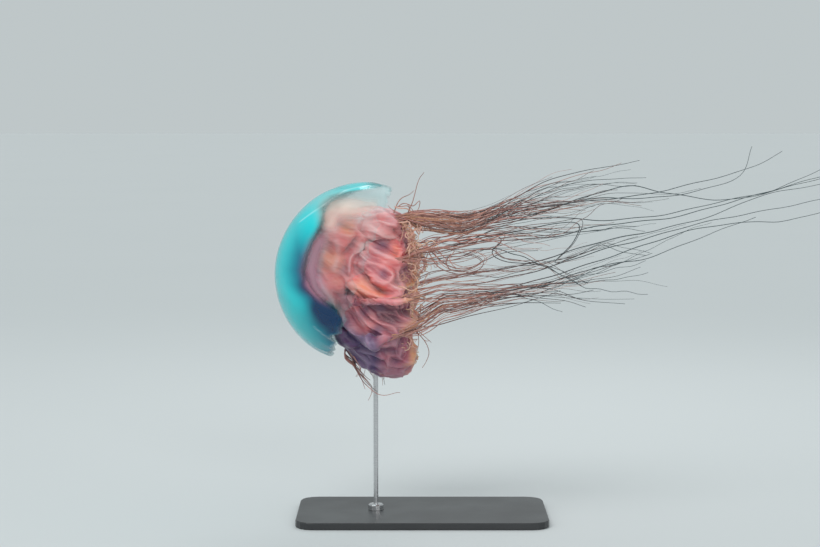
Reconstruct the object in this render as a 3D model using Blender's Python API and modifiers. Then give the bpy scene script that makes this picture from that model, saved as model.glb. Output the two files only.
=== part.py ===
"""Lion's mane jellyfish (Cyanea capillata), a still life-size model on a display stand.

Metres, +Z up. The bell leads towards -X and the tentacles trail towards +X. The origin is the centre of the
base's underside. Places given as (x, z) or (x, y, z) are measured from the centre of the bell's rim.
"""

import math

import bmesh
import bpy
import numpy as np
from mathutils import Matrix, Vector

# Driving dimensions
BELL_RADIUS = 0.152
BELL_HEIGHT = 0.146
BELL_APEX_WALL = 0.022
BELL_RIM_WALL = 0.004
BELL_CENTRE = Vector((-0.100, 0.0, 0.415))
BELL_TURN = math.radians(-70.4)  # about +Y: the bell's own +Z, its apex, points left and a little up
LOBES = 8
RIM_BAND = 0.040  # height of the band that the clefts reach into
GAP = 0.0003  # between pieces that meet

CLUSTER_RING = 0.112  # radius of the ring that the tentacle clusters grow from
STOMACH_OFFSET = 0.012  # the stomach region sits this far above the bell's axis
STRAND_START = 0.0011  # radius of a strand where it leaves its cluster
STRAND_END = 0.0004
STRAND_STEP = 0.055  # length of one straight piece of a strand
TIP_FROM = 0.500  # strands that reach past this x have a length of their own from there on

BASE_SIZE = (0.420, 0.220, 0.012)
BASE_CORNER = 0.030
ROD_RADIUS = 0.004
ROD_AT = (-0.078, 0.0)
ROD_TOP = 0.278
COLLAR_RADIUS = 0.013
COLLAR_HEIGHT = 0.010

# The bundle of oral arms: (x, z) of each section's centre, its lean, and its reach up, down and sideways
ARM_SECTIONS = (
    (-0.009, 0.003, 19.0, 0.070, 0.068, 0.070),
    (0.008, -0.012, 17.0, 0.092, 0.122, 0.082),
    (0.024, -0.034, 14.0, 0.106, 0.118, 0.084),
    (0.044, -0.050, 8.0, 0.126, 0.118, 0.084),
    (0.064, -0.056, 4.0, 0.128, 0.114, 0.078),
    (0.078, -0.060, 2.0, 0.100, 0.104, 0.058),
)
ARM_PLEATS = 14
ARM_NAMES = ("upper", "far", "lower", "near")

# Frilled edges of the oral arms: (x, y, z) along each, its half width and its number of waves
FRILLS = {
    "upper": (
        ((0.082, -0.030, 0.062), (0.094, -0.012, 0.050), (0.094, 0.012, 0.038), (0.086, 0.034, 0.036)),
        0.007,
        3,
    ),
    "near": (
        ((0.084, -0.050, 0.052), (0.104, -0.064, 0.040), (0.124, -0.060, 0.018), (0.098, -0.048, 0.000)),
        0.009,
        3,
    ),
    "far": (
        ((0.082, 0.046, 0.016), (0.100, 0.056, -0.004), (0.092, 0.050, -0.030), (0.082, 0.034, -0.044)),
        0.008,
        3,
    ),
    "lower": (
        ((0.084, -0.028, -0.112), (0.096, -0.010, -0.130), (0.094, 0.012, -0.156), (0.070, 0.022, -0.170)),
        0.007,
        3,
    ),
}

# One cluster of each kind on the near side and one on the far side. Each gives the angle of its root on the
# ring, the sections of its near length as (x, y, z, half height, half width), and the lane in y that its
# strands run in.
CLUSTERS = {
    "upper": (
        22.5,
        (
            (0.060, 0.043, 0.096, 0.013, 0.022),
            (0.105, 0.040, 0.089, 0.016, 0.021),
            (0.165, 0.033, 0.083, 0.016, 0.017),
        ),
        0.020,
    ),
    "middle": (
        67.5,
        (
            (0.055, 0.104, 0.038, 0.020, 0.007),
            (0.095, 0.098, 0.036, 0.015, 0.008),
            (0.135, 0.090, 0.042, 0.012, 0.010),
        ),
        0.065,
    ),
    "lower": (
        112.5,
        (
            (0.030, 0.106, -0.042, 0.018, 0.007),
            (0.080, 0.106, -0.036, 0.013, 0.009),
            (0.135, 0.100, -0.024, 0.011, 0.010),
        ),
        0.090,
    ),
    "bottom": (
        157.5,
        (
            (-0.005, 0.074, -0.112, 0.012, 0.009),
            (0.035, 0.094, -0.102, 0.013, 0.007),
            (0.080, 0.082, -0.088, 0.013, 0.009),
            (0.135, 0.060, -0.056, 0.012, 0.011),
        ),
        0.040,
    ),
}
# The two guide strands of each cluster's fan, as (x, z)
GUIDES = {
    ("upper", "near"): (
        ((0.226, 0.113), (0.318, 0.158), (0.399, 0.176), (0.460, 0.188)),
        ((0.273, 0.106), (0.366, 0.119), (0.465, 0.131), (0.556, 0.152), (0.640, 0.175), (0.697, 0.203)),
    ),
    ("upper", "far"): (
        ((0.274, 0.109), (0.399, 0.123), (0.481, 0.124), (0.563, 0.137), (0.632, 0.163), (0.651, 0.211)),
        (
            (0.274, 0.092), (0.368, 0.123), (0.445, 0.144), (0.510, 0.133),
            (0.598, 0.122), (0.680, 0.135), (0.800, 0.187),
        ),
    ),
    ("middle", "near"): (
        (
            (0.224, 0.059), (0.316, 0.064), (0.391, 0.082), (0.506, 0.096),
            (0.591, 0.118), (0.750, 0.161), (0.800, 0.176),
        ),
        ((0.211, 0.046), (0.232, 0.030), (0.305, 0.016), (0.374, -0.013)),
    ),
    ("middle", "far"): (
        (
            (0.230, 0.076), (0.325, 0.088), (0.404, 0.083), (0.511, 0.094),
            (0.606, 0.117), (0.689, 0.134), (0.830, 0.170),
        ),
        ((0.230, 0.052), (0.340, 0.060), (0.430, 0.070), (0.480, 0.066)),
    ),
    ("lower", "near"): (
        (
            (0.223, -0.018), (0.292, -0.004), (0.389, 0.027), (0.537, 0.077),
            (0.639, 0.090), (0.700, 0.092), (0.800, 0.118),
        ),
        ((0.226, -0.028), (0.320, -0.038), (0.368, -0.050)),
    ),
    ("lower", "far"): (
        (
            (0.183, -0.010), (0.279, 0.005), (0.406, 0.044), (0.502, 0.066),
            (0.598, 0.093), (0.682, 0.127), (0.830, 0.153),
        ),
        (
            (0.200, -0.026), (0.300, -0.005), (0.406, 0.030), (0.478, 0.050),
            (0.574, 0.079), (0.706, 0.105), (0.840, 0.131),
        ),
    ),
    ("bottom", "near"): (
        ((0.225, -0.026), (0.295, -0.018), (0.394, 0.013), (0.473, 0.028), (0.556, 0.061), (0.650, 0.096)),
        ((0.250, -0.038), (0.330, -0.036), (0.385, -0.027)),
    ),
    ("bottom", "far"): (
        ((0.260, -0.030), (0.340, -0.016), (0.406, 0.002), (0.490, 0.030)),
        ((0.250, -0.042), (0.320, -0.040), (0.372, -0.049)),
    ),
}
# Strands between the guides: how far from the first guide to the second, and the x where each ends
FAN = ((0.25, 0.430), (0.55, 0.470), (0.85, 0.330))
# Single strands with a route of their own, as (x, y, z), each on one cluster
LOOSE = {
    ("middle", "near"): (
        (
            (0.146, -0.091, 0.038), (0.138, -0.107, 0.026), (0.148, -0.110, 0.013), (0.176, -0.106, 0.014),
            (0.195, -0.100, 0.027), (0.176, -0.098, 0.037), (0.158, -0.104, 0.040),
        ),
    ),
    ("middle", "far"): (
        (
            (0.160, 0.086, 0.046), (0.240, 0.070, 0.060), (0.330, 0.060, 0.078), (0.368, 0.060, 0.076),
            (0.358, 0.064, 0.044), (0.328, 0.066, 0.011), (0.362, 0.066, 0.020), (0.404, 0.064, 0.041),
            (0.440, 0.064, 0.030), (0.483, 0.062, 0.024),
        ),
    ),
    ("bottom", "near"): (
        ((0.146, -0.055, -0.062), (0.190, -0.048, -0.052), (0.262, -0.046, -0.047), (0.330, -0.046, -0.048)),
    ),
}
# Strands that leave a near length on its way: two that stand up over the rim, and the lowest one of all
SIDE_STRANDS = {
    ("upper", "near"): (
        ((0.052, -0.030, 0.100), (0.062, -0.026, 0.121), (0.086, -0.024, 0.142)),
        ((0.074, -0.034, 0.096), (0.083, -0.032, 0.120), (0.094, -0.030, 0.152), (0.103, -0.030, 0.172)),
    ),
    ("bottom", "far"): (
        (
            (0.070, 0.083, -0.092), (0.110, 0.072, -0.100), (0.182, 0.054, -0.079),
            (0.253, 0.050, -0.063), (0.288, 0.050, -0.052),
        ),
    ),
}
# The short bunch under the rim: its core and the strands that leave it
BUNCH_CORE = (
    (-0.0460, 0.0, -0.1300, 0.0040),
    (-0.0300, 0.0, -0.1430, 0.0065),
    (-0.0120, 0.0, -0.1620, 0.0060),
)
BUNCH_STRANDS = (
    ((-0.014, 0.003, -0.160), (0.004, 0.009, -0.183), (0.015, 0.011, -0.200), (0.009, 0.010, -0.217)),
    ((-0.014, -0.003, -0.160), (0.004, -0.009, -0.186), (0.026, -0.012, -0.204), (0.063, -0.013, -0.202)),
    ((-0.014, 0.000, -0.158), (-0.002, -0.002, -0.178), (0.004, -0.003, -0.196)),
)


def collection(name):
    made = bpy.data.collections.new(name)
    bpy.context.scene.collection.children.link(made)
    return made


def material(name, colour, roughness, metallic=0.0, alpha=1.0):
    made = bpy.data.materials.new(name)
    made.use_nodes = True
    shader = made.node_tree.nodes["Principled BSDF"]
    shader.inputs["Base Color"].default_value = (*colour, 1.0)
    shader.inputs["Roughness"].default_value = roughness
    shader.inputs["Metallic"].default_value = metallic
    shader.inputs["Alpha"].default_value = alpha
    return made


def mesh_object(name, bm, look, home, parent=None):
    """A new object in the collection home that holds the bmesh, with its faces turned outwards."""
    bmesh.ops.recalc_face_normals(bm, faces=bm.faces)
    mesh = bpy.data.meshes.new(name)
    bm.to_mesh(mesh)
    bm.free()
    mesh.shade_smooth()
    made = bpy.data.objects.new(name, mesh)
    if look:
        made.data.materials.append(look)
    made.parent = parent
    home.objects.link(made)
    return made


def hide(obj):
    obj.hide_render = True
    obj.display_type = "WIRE"
    return obj


def boolean(obj, operation, other=None, group=None):
    modifier = obj.modifiers.new(operation.title(), "BOOLEAN")
    modifier.operation = operation
    modifier.solver = "EXACT"
    if group:
        modifier.operand_type = "COLLECTION"
        modifier.collection = group
    else:
        modifier.object = other
    return modifier


def smoothstep(value):
    value = min(1.0, max(0.0, value))
    return value * value * (3.0 - 2.0 * value)


def in_bell(angle, radius, height):
    """Point at this angle from the bell's top (far side positive), as an offset in world axes."""
    turn = Matrix.Rotation(BELL_TURN, 3, "Y")
    point = Vector((math.cos(math.radians(angle)) * radius, math.sin(math.radians(angle)) * radius, height))
    return turn @ point


def curve_through(points, step):
    """Points about one step apart along a smooth curve through the given ones."""
    knots = [Vector(point) for point in points]
    knots = [2 * knots[0] - knots[1], *knots, 2 * knots[-1] - knots[-2]]
    line = [knots[1]]
    for before, start, end, after in zip(knots, knots[1:], knots[2:], knots[3:]):
        pieces = max(1, round((end - start).length / step))
        for number in range(1, pieces + 1):
            t = number / pieces
            bend = (2 * before - 5 * start + 4 * end - after) * t**2
            bend += (3 * start - before - 3 * end + after) * t**3
            line.append(start + 0.5 * ((end - before) * t + bend))
    return line


def loft(rings):
    """A closed bmesh over rings of equally many points, with both ends filled."""
    bm = bmesh.new()
    loops = []
    for ring in rings:
        verts = [bm.verts.new(point) for point in ring]
        loops.append([bm.edges.new((verts[i - 1], verts[i])) for i in range(len(verts))])
    for first, second in zip(loops, loops[1:]):
        bmesh.ops.bridge_loops(bm, edges=first + second)
    for end in (loops[0], loops[-1]):
        bmesh.ops.holes_fill(bm, edges=end, sides=0)
    bmesh.ops.triangulate(bm, faces=[face for face in bm.faces if len(face.verts) > 4])
    return bm


def oval(centre, up, side, half_height, half_width, count):
    """Ring of points round centre, in the plane of the two unit vectors up and side."""
    turns = [2 * math.pi * i / count for i in range(count)]
    return [centre + up * half_height * math.cos(a) + side * half_width * math.sin(a) for a in turns]


def tube_curve(points, radii):
    """A four-sided tube with filled caps, as a curve data block."""
    curve = bpy.data.curves.new("strand", "CURVE")
    curve.dimensions = "3D"
    curve.bevel_depth = 1.0
    curve.bevel_resolution = 0
    curve.use_fill_caps = True
    spline = curve.splines.new("POLY")
    spline.points.add(len(points) - 1)
    for point, place, radius in zip(spline.points, points, radii):
        point.co = (*place, 1.0)
        point.radius = radius
    return curve


def strand_tube(name, points, start, end, look, home, parent):
    """One strand as a closed mesh that thins evenly from its start radius to its end radius."""
    radii = np.linspace(start, end, len(points))
    guide = bpy.data.objects.new(name, tube_curve(points, radii))
    home.objects.link(guide)
    mesh = bpy.data.meshes.new_from_object(guide.evaluated_get(bpy.context.evaluated_depsgraph_get()))
    bpy.data.objects.remove(guide)
    bm = bmesh.new()
    bm.from_mesh(mesh)
    bpy.data.meshes.remove(mesh)
    bmesh.ops.remove_doubles(bm, verts=bm.verts, dist=1e-6)
    return mesh_object(name, bm, look, home, parent)


def rim_cut(angle):
    """How far the rim is cut back at this angle: a cleft between lobes, and notches between their lappets."""
    part = (angle / (2 * math.pi) * LOBES) % 1.0
    cuts = ((0.0, 0.014), (0.25, 0.004), (0.5, 0.007), (0.75, 0.004), (1.0, 0.014))
    return max(depth * max(0.0, 1.0 - abs(part - place) * 9.0) for place, depth in cuts)


def dome(radius, height, last, count):
    """Profile of a dome from its top to the angle last in degrees, where 90 is its rim, as XZ points."""
    angles = [math.radians(last) * i / (count - 1) for i in range(count)]
    return [Vector((radius * math.sin(a), 0.0, height * math.cos(a))) for a in angles]


def spun(profile, segments):
    """The closed solid that a profile from axis to axis sweeps round the Z axis."""
    bm = bmesh.new()
    verts = [bm.verts.new(point) for point in profile]
    edges = [bm.edges.new(pair) for pair in zip(verts, verts[1:])]
    bmesh.ops.spin(
        bm, geom=verts + edges, cent=(0, 0, 0), axis=(0, 0, 1), angle=2 * math.pi, steps=segments,
        use_merge=True,
    )
    bmesh.ops.remove_doubles(bm, verts=bm.verts, dist=1e-5)
    return bm


def make_bell(look, home, parent):
    outer = dome(BELL_RADIUS, BELL_HEIGHT, 90.0, 9)
    inner = dome(BELL_RADIUS - BELL_RIM_WALL, BELL_HEIGHT - BELL_APEX_WALL, 90.0, 7)
    bm = spun(outer + inner[::-1], 64)
    for vert in bm.verts:
        height = vert.co.z
        if height > RIM_BAND:
            continue
        lifted = height + rim_cut(math.atan2(vert.co.y, vert.co.x)) * (1.0 - height / RIM_BAND)
        width = math.sqrt((1 - (lifted / BELL_HEIGHT) ** 2) / (1 - (height / BELL_HEIGHT) ** 2))
        vert.co = (vert.co.x * width, vert.co.y * width, lifted)
    return mesh_object("bell", bm, look, home, parent)


def make_subumbrella(look, home, parent):
    """The muscular lining under the bell, with the ridges of its ring muscle on the inside."""
    wall, ridge, hem = 0.0040, 0.0008, 75.0
    radius = BELL_RADIUS - BELL_RIM_WALL - 2 * GAP
    height = BELL_HEIGHT - BELL_APEX_WALL - 2 * GAP
    outer = dome(radius, height, hem, 6)
    inner = dome(radius - wall, height - wall, hem, 6)
    for number, point in enumerate(inner[1:-1]):
        point *= 1.0 + (ridge if number % 2 else -ridge) / radius
    return mesh_object("subumbrella", spun(outer + inner[::-1], 32), look, home, parent)


def make_lump(name, centre, size, turn, look, home, parent):
    """A soft lobe of the stomach region: a sphere with shallow folds running down it."""
    bm = bmesh.new()
    bmesh.ops.create_uvsphere(bm, u_segments=12, v_segments=8, radius=1.0)
    for vert in bm.verts:
        around = math.atan2(vert.co.y, vert.co.x)
        swell = 1.0 + 0.05 * math.sin(5 * around + 2.5 * vert.co.z) * (1.0 - vert.co.z**2)
        vert.co = Vector((vert.co.x * size[0] * swell, vert.co.y * size[1] * swell, vert.co.z * size[2]))
    bmesh.ops.transform(bm, matrix=Matrix.Translation(centre) @ Matrix.Rotation(turn, 4, "Z"), verts=bm.verts)
    return mesh_object(name, bm, look, home, parent)


def make_stomach(look, gonad_look, home, cutters, parent):
    """The stomach under the bell's middle, and the four gonads that are folded round it."""
    middle, size, room, spread = Vector((STOMACH_OFFSET, 0.0, 0.054)), 0.034, 0.0014, 0.2
    make_lump("stomach", middle, (size, size, size + 0.004), 0.0, look, home, parent)
    sizes = (size + room, size + room, size + 0.004 + room)
    clearance = hide(make_lump("stomach_room", middle, sizes, 0.0, None, cutters, parent))
    for number in range(4):
        turn = math.radians(90 * number)
        above = number in (0, 3)
        radius, height, scale = (0.057, 0.055, 1.0) if above else (0.052, 0.050, 0.92)
        outward = Matrix.Rotation(turn, 3, "Z") @ Vector((radius, radius, 0)) * 0.707
        centre = Vector((STOMACH_OFFSET, 0.0, height)) + outward
        sizes = (0.042 * scale, 0.039 * scale, 0.041 * scale)
        gonad = make_lump(f"gonad_{number + 1}", centre, sizes, turn + math.pi / 4, gonad_look, home, parent)
        corner = Matrix.Translation((STOMACH_OFFSET, 0, 0)) @ Matrix.Rotation(turn, 4, "Z")
        bm = bmesh.new()
        shift = Matrix.Translation((spread / 2 + GAP, spread / 2 + GAP, spread / 2))
        bmesh.ops.create_cube(bm, size=spread, matrix=corner @ shift)
        boolean(gonad, "INTERSECT", hide(mesh_object(f"quarter_{number + 1}", bm, None, cutters, parent)))
        boolean(gonad, "DIFFERENCE", clearance)


def arm_ring(section, count):
    """One pleated section of the whole bundle of oral arms."""
    x, z, lean, reach_up, reach_down, reach_side = section
    lean = math.radians(lean)
    up = Vector((math.sin(lean), 0.0, math.cos(lean)))
    ring = []
    for i in range(count):
        angle = 2 * math.pi * i / count
        reach = reach_up if math.cos(angle) > 0 else reach_down
        pleat = 1.0 + 0.028 * math.cos(ARM_PLEATS * angle + 30.0 * x)
        ring.append(
            Vector((x, 0.0, z)) + up * reach * math.cos(angle) * pleat
            + Vector((0.0, reach_side * math.sin(angle) * pleat, 0.0))
        )
    return ring


def wedge(name, number, cutters, parent):
    """A cutter: one quarter of the space round the bundle's middle line, set back by the gap."""
    bm = bmesh.new()
    spread, long = 0.30, 0.40
    flat = [Vector((0, 0, 0)), Vector((0, -spread, spread)), Vector((0, spread, spread))]
    ends = [[point + Vector((x, 0, 0)) for point in flat] for x in (-long, long)]
    verts = [[bm.verts.new(point) for point in end] for end in ends]
    bm.faces.new(verts[0])
    bm.faces.new(verts[1][::-1])
    for i in range(3):
        bm.faces.new((verts[0][i - 1], verts[0][i], verts[1][i], verts[1][i - 1]))
    stretch = Matrix.Diagonal((1.0, 0.72, 1.0, 1.0))
    turn = Matrix.Rotation(-math.pi / 2 * number, 4, "X")
    lean = Matrix.Translation((0.0, 0.0, -0.016)) @ Matrix.Rotation(math.radians(38.0), 4, "Y")
    bmesh.ops.transform(bm, matrix=Matrix.Translation((0, 0, 1.5 * GAP)), verts=bm.verts)
    bmesh.ops.transform(bm, matrix=lean @ stretch @ turn, verts=bm.verts)
    return hide(mesh_object(name, bm, None, cutters, parent))


def make_arms(look, home, cutters, parent):
    """The four oral arms: one pleated bundle parted along its middle line by thin cuts."""
    socket = bmesh.new()
    depth = ROD_TOP - BELL_CENTRE.z
    bmesh.ops.create_cone(
        socket, cap_ends=True, segments=16, radius1=ROD_RADIUS + GAP, radius2=ROD_RADIUS + GAP, depth=0.2,
        matrix=Matrix.Translation((ROD_AT[0] - BELL_CENTRE.x, ROD_AT[1], depth + GAP - 0.1)),
    )
    socket = hide(mesh_object("rod_socket", socket, None, cutters, parent))
    for number, name in enumerate(ARM_NAMES):
        bm = loft([arm_ring(section, 42) for section in ARM_SECTIONS])
        arm = mesh_object(f"oral_arm_{name}", bm, look, home, parent)
        boolean(arm, "INTERSECT", wedge(f"wedge_{name}", number, cutters, parent))
        if name == "lower":
            boolean(arm, "DIFFERENCE", socket)


def make_frill(name, route, half_width, waves, look, home, parent):
    """A waved ribbon along the free edge of an oral arm."""
    line = curve_through(route, 0.006)
    rings = []
    for number, point in enumerate(line):
        along = (line[min(number + 1, len(line) - 1)] - line[max(number - 1, 0)]).normalized()
        side = along.cross(Vector((0.2, 1.0, 0.3))).normalized()
        flat = along.cross(side)
        part = number / (len(line) - 1)
        width = half_width * (0.45 + 0.55 * math.sin(math.pi * part))
        lift = flat * 0.002 * math.sin(2 * math.pi * waves * part)
        rings.append(oval(point + lift, side, flat, width, 0.0015, 6))
    return mesh_object(f"oral_frill_{name}", loft(rings), look, home, parent)


def cluster_sections(kind, side):
    """Sections of a cluster's near length: (centre, up, across, half height, half width), root first."""
    angle, stations, _ = CLUSTERS[kind]
    root = in_bell(angle * side, CLUSTER_RING, 0.004)
    outward = (in_bell(angle * side, 1.0, 0.0)).normalized()
    around = in_bell(0.0, 0.0, 1.0).cross(outward).normalized()
    sections = [(root, around, outward, 0.023, 0.005)]
    for x, y, z, half_height, half_width in stations:
        centre = Vector((x, y * side, z))
        if kind == "upper":
            sections.append((centre, Vector((0, 1, 0)), Vector((0, 0, 1)), half_width, half_height))
        else:
            sections.append((centre, Vector((0, 0, 1)), Vector((0, 1, 0)), half_height, half_width))
    return sections


def aligned(sections):
    """The sections, each with its two directions turned to agree with the one before."""
    done = [sections[0]]
    for centre, up, across, half_height, half_width in sections[1:]:
        if up.dot(done[-1][1]) < 0:
            up = -up
        if up.cross(across).dot(done[-1][1].cross(done[-1][2])) < 0:
            across = -across
        done.append((centre, up, across, half_height, half_width))
    return done


def cluster_root(kind, side):
    rings = [oval(*section, 10) for section in aligned(cluster_sections(kind, side))]
    return loft(rings)


def lane_place(kind, side, x, spread):
    """The y of a strand, which eases from its near length into its cluster's lane."""
    _, stations, lane = CLUSTERS[kind]
    start_x, start_y, _, _, half_width = stations[-1]
    eased = smoothstep((x - start_x) / 0.16)
    drawn = 1.0 - 0.32 * smoothstep((x - 0.35) / 0.45)
    across = spread * (half_width * 0.6 * (1 - eased) + 0.005 * eased)
    return side * drawn * (start_y + (lane - start_y) * eased + across)


def drifted(points):
    """The points with the slow sideways drift that all the tentacles share."""
    shift = [0.013 * math.sin(11.0 * (x - 0.17)) * smoothstep((x - 0.17) / 0.20) for x, _, _ in points]
    return [(x, y + move, z) for (x, y, z), move in zip(points, shift)]


def guide_points(kind, side, which):
    """A guide strand from the middle of its near length's end, as (x, y, z) points."""
    _, stations, _ = CLUSTERS[kind]
    x, _, z, half_height, _ = stations[-1]
    points = [(x + 0.012, z + half_height * (0.45, -0.45)[which])]
    points += GUIDES[kind, "near" if side < 0 else "far"][which]
    spread = (0.6, -0.6)[which]
    return [(x, lane_place(kind, side, x, spread), z) for x, z in points]


def fan_points(kind, side, number):
    """A strand between the two guides, with a slow wave of its own."""
    share, end = FAN[number]
    first, second = (np.array(guide_points(kind, side, which)) for which in (0, 1))
    points = []
    for x in np.linspace(first[0, 0], end, 5):
        upper, lower = (np.interp(x, guide[:, 0], guide[:, 2]) for guide in (first, second))
        height = (1 - share) * upper + share * lower
        wave = 0.006 * smoothstep((x - first[0, 0]) / 0.12) * math.sin(26.0 * x + 2.1 * number + 1.3 * side)
        sway = 0.4 * math.sin(17.0 * x + 2.0 * number)
        points.append((x, lane_place(kind, side, x, 0.7 - 0.7 * number + sway), height + wave))
    return points


def split_at(points, x):
    """The line up to x, and the line past it."""
    near = [point for point in points if point.x <= x]
    return near, [point for point in points if point.x > x]


def make_cluster(kind, side, look, home, parent):
    """One tentacle cluster: its near length, its trailing length with all its strands, and its tips."""
    name = f"tentacles_{kind}_{'near' if side < 0 else 'far'}"
    strands = collection(f"{name}_strands")
    root = mesh_object(f"{name}_root", cluster_root(kind, side), look, home, parent)
    side_routes = SIDE_STRANDS.get((kind, "near" if side < 0 else "far"), ())
    if side_routes:
        loose = collection(f"{name}_side_strands")
        for route in side_routes:
            line = curve_through(drifted(route), 0.026)
            hide(strand_tube("strand", line, STRAND_START, STRAND_END, None, loose, parent))
        boolean(root, "UNION", group=loose)

    centre, up, across, half_height, half_width = aligned(cluster_sections(kind, side))[-1]
    start = centre + Vector((2 * GAP, 0, 0))
    middle = start + Vector((0.030, -0.15 * side * 0.03, 0.004))
    end = start + Vector((0.055, -0.15 * side * 0.055, 0.010))
    sizes = ((start, 1.0), (middle, 0.72), (end, 0.30))
    core = loft([oval(at, up, across, half_height * size, half_width * size, 8) for at, size in sizes])
    trail = mesh_object(f"{name}_trail", core, look, home, parent)

    routes = [guide_points(kind, side, which) for which in (0, 1)]
    routes += [fan_points(kind, side, number) for number in range(len(FAN))]
    lines = [curve_through(drifted(route), STRAND_STEP) for route in routes]
    own_routes = LOOSE.get((kind, "near" if side < 0 else "far"), ())
    lines += [curve_through(drifted(route), 0.020) for route in own_routes]
    tips = 0
    for line in lines:
        near, far = split_at(line, TIP_FROM)
        thin = STRAND_START - (STRAND_START - STRAND_END) * len(near) / len(line)
        hide(strand_tube("strand", near, STRAND_START, thin, None, strands, parent))
        if len(far) > 1:
            tips += 1
            step = (far[0] - near[-1]).normalized()
            far = [near[-1] + step * 2 * GAP, *far]
            strand_tube(f"{name}_tip_{tips}", far, thin, STRAND_END, look, home, parent)
    boolean(trail, "UNION", group=strands)


def make_bunch(look, home, parent):
    """The short bunch that hangs from the rim's lowest side."""
    strands = collection("bunch_strands")
    lean = Vector((0.70, 0.0, 0.71))
    across = Vector((0, 1, 0))
    rings = [oval(Vector((x, y, z)), lean, across, size, 1.6 * size, 8) for x, y, z, size in BUNCH_CORE]
    bunch = mesh_object("tentacles_bunch", loft(rings), look, home, parent)
    for route in BUNCH_STRANDS:
        hide(strand_tube("strand", curve_through(route, 0.014), 0.0012, STRAND_END, None, strands, parent))
    boolean(bunch, "UNION", group=strands)


def make_stand(base_look, rod_look, home):
    length, width, height = BASE_SIZE
    bm = bmesh.new()
    bmesh.ops.create_cube(bm, size=1.0, matrix=Matrix.Diagonal((length, width, height, 1.0)))
    upright = [edge for edge in bm.edges if abs(edge.verts[0].co.z - edge.verts[1].co.z) > height / 2]
    bmesh.ops.bevel(
        bm, geom=upright, offset=BASE_CORNER, segments=4, profile=0.5, affect="EDGES", material=-1
    )
    bmesh.ops.transform(bm, matrix=Matrix.Translation((0, 0, height / 2)), verts=bm.verts)
    base = mesh_object("stand_base", bm, base_look, home)
    base.data.set_sharp_from_angle(angle=math.radians(30))
    edge = base.modifiers.new("Edge", "BEVEL")
    edge.width = 0.0015
    edge.segments = 1
    edge.limit_method = "ANGLE"

    foot, top = height + GAP, ROD_TOP
    profile = [
        (0.0, foot), (COLLAR_RADIUS, foot), (COLLAR_RADIUS, foot + COLLAR_HEIGHT - 0.002),
        (COLLAR_RADIUS - 0.002, foot + COLLAR_HEIGHT), (ROD_RADIUS, foot + COLLAR_HEIGHT),
        (ROD_RADIUS, top - 0.001), (ROD_RADIUS - 0.001, top), (0.0, top),
    ]
    rod = mesh_object("stand_rod", spun([Vector((x, 0, z)) for x, z in profile], 12), rod_look, home)
    rod.location = (*ROD_AT, 0.0)
    rod.data.set_sharp_from_angle(angle=math.radians(30))


def main():
    for obj in list(bpy.data.objects):
        bpy.data.objects.remove(obj)
    home = collection("lions_mane_jellyfish")
    cutters = collection("cutters")

    bell_look = material("bell", (0.10, 0.62, 0.66), 0.15, alpha=0.6)
    lining_look = material("subumbrella", (0.03, 0.25, 0.40), 0.35)
    stomach_look = material("stomach", (0.62, 0.24, 0.22), 0.45)
    gonad_look = material("gonads", (0.75, 0.32, 0.28), 0.45)
    arm_look = material("oral_arms", (0.66, 0.30, 0.34), 0.45)
    frill_look = material("frills", (0.80, 0.45, 0.24), 0.45)
    tentacle_look = material("tentacles", (0.20, 0.09, 0.08), 0.40)
    base_look = material("stand_base", (0.02, 0.02, 0.022), 0.40)
    rod_look = material("stand_rod", (0.55, 0.55, 0.56), 0.30, metallic=1.0)

    rim = bpy.data.objects.new("rim_centre", None)
    rim.location = BELL_CENTRE
    home.objects.link(rim)
    axis = bpy.data.objects.new("bell_axis", None)
    axis.rotation_euler = (0.0, BELL_TURN, 0.0)
    axis.parent = rim
    home.objects.link(axis)

    make_bell(bell_look, home, axis)
    make_subumbrella(lining_look, home, axis)
    make_stomach(stomach_look, gonad_look, home, cutters, axis)
    make_arms(arm_look, home, cutters, rim)
    for name, (route, half_width, waves) in FRILLS.items():
        make_frill(name, route, half_width, waves, frill_look, home, rim)
    for kind in CLUSTERS:
        for side in (-1, 1):
            make_cluster(kind, side, tentacle_look, home, rim)
    make_bunch(tentacle_look, home, rim)
    make_stand(base_look, rod_look, home)


main()
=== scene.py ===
import math
import random

import bmesh
import bpy
import numpy as np
from mathutils import Matrix, Vector, noise
from mathutils.bvhtree import BVHTree


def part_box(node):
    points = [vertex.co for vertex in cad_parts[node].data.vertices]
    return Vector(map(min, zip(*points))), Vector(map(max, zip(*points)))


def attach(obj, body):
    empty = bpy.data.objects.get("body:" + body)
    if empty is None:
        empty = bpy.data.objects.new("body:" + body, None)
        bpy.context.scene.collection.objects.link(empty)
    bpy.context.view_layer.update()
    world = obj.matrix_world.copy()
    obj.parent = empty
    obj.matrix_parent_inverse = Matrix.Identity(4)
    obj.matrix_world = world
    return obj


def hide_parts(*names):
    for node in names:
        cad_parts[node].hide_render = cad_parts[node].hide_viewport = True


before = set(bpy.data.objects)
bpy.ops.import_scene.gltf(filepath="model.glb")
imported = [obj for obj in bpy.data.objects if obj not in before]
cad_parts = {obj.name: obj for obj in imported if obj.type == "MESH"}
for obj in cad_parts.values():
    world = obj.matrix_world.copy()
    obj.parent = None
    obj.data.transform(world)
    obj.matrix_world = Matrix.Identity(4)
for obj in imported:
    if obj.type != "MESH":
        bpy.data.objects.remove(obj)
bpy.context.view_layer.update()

# Lion's mane jellyfish on its stand. Metres, +Z up, the bell leads towards -X.
# Places written as (x, z) or (x, y, z) are measured from the centre of the bell's rim.

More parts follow.
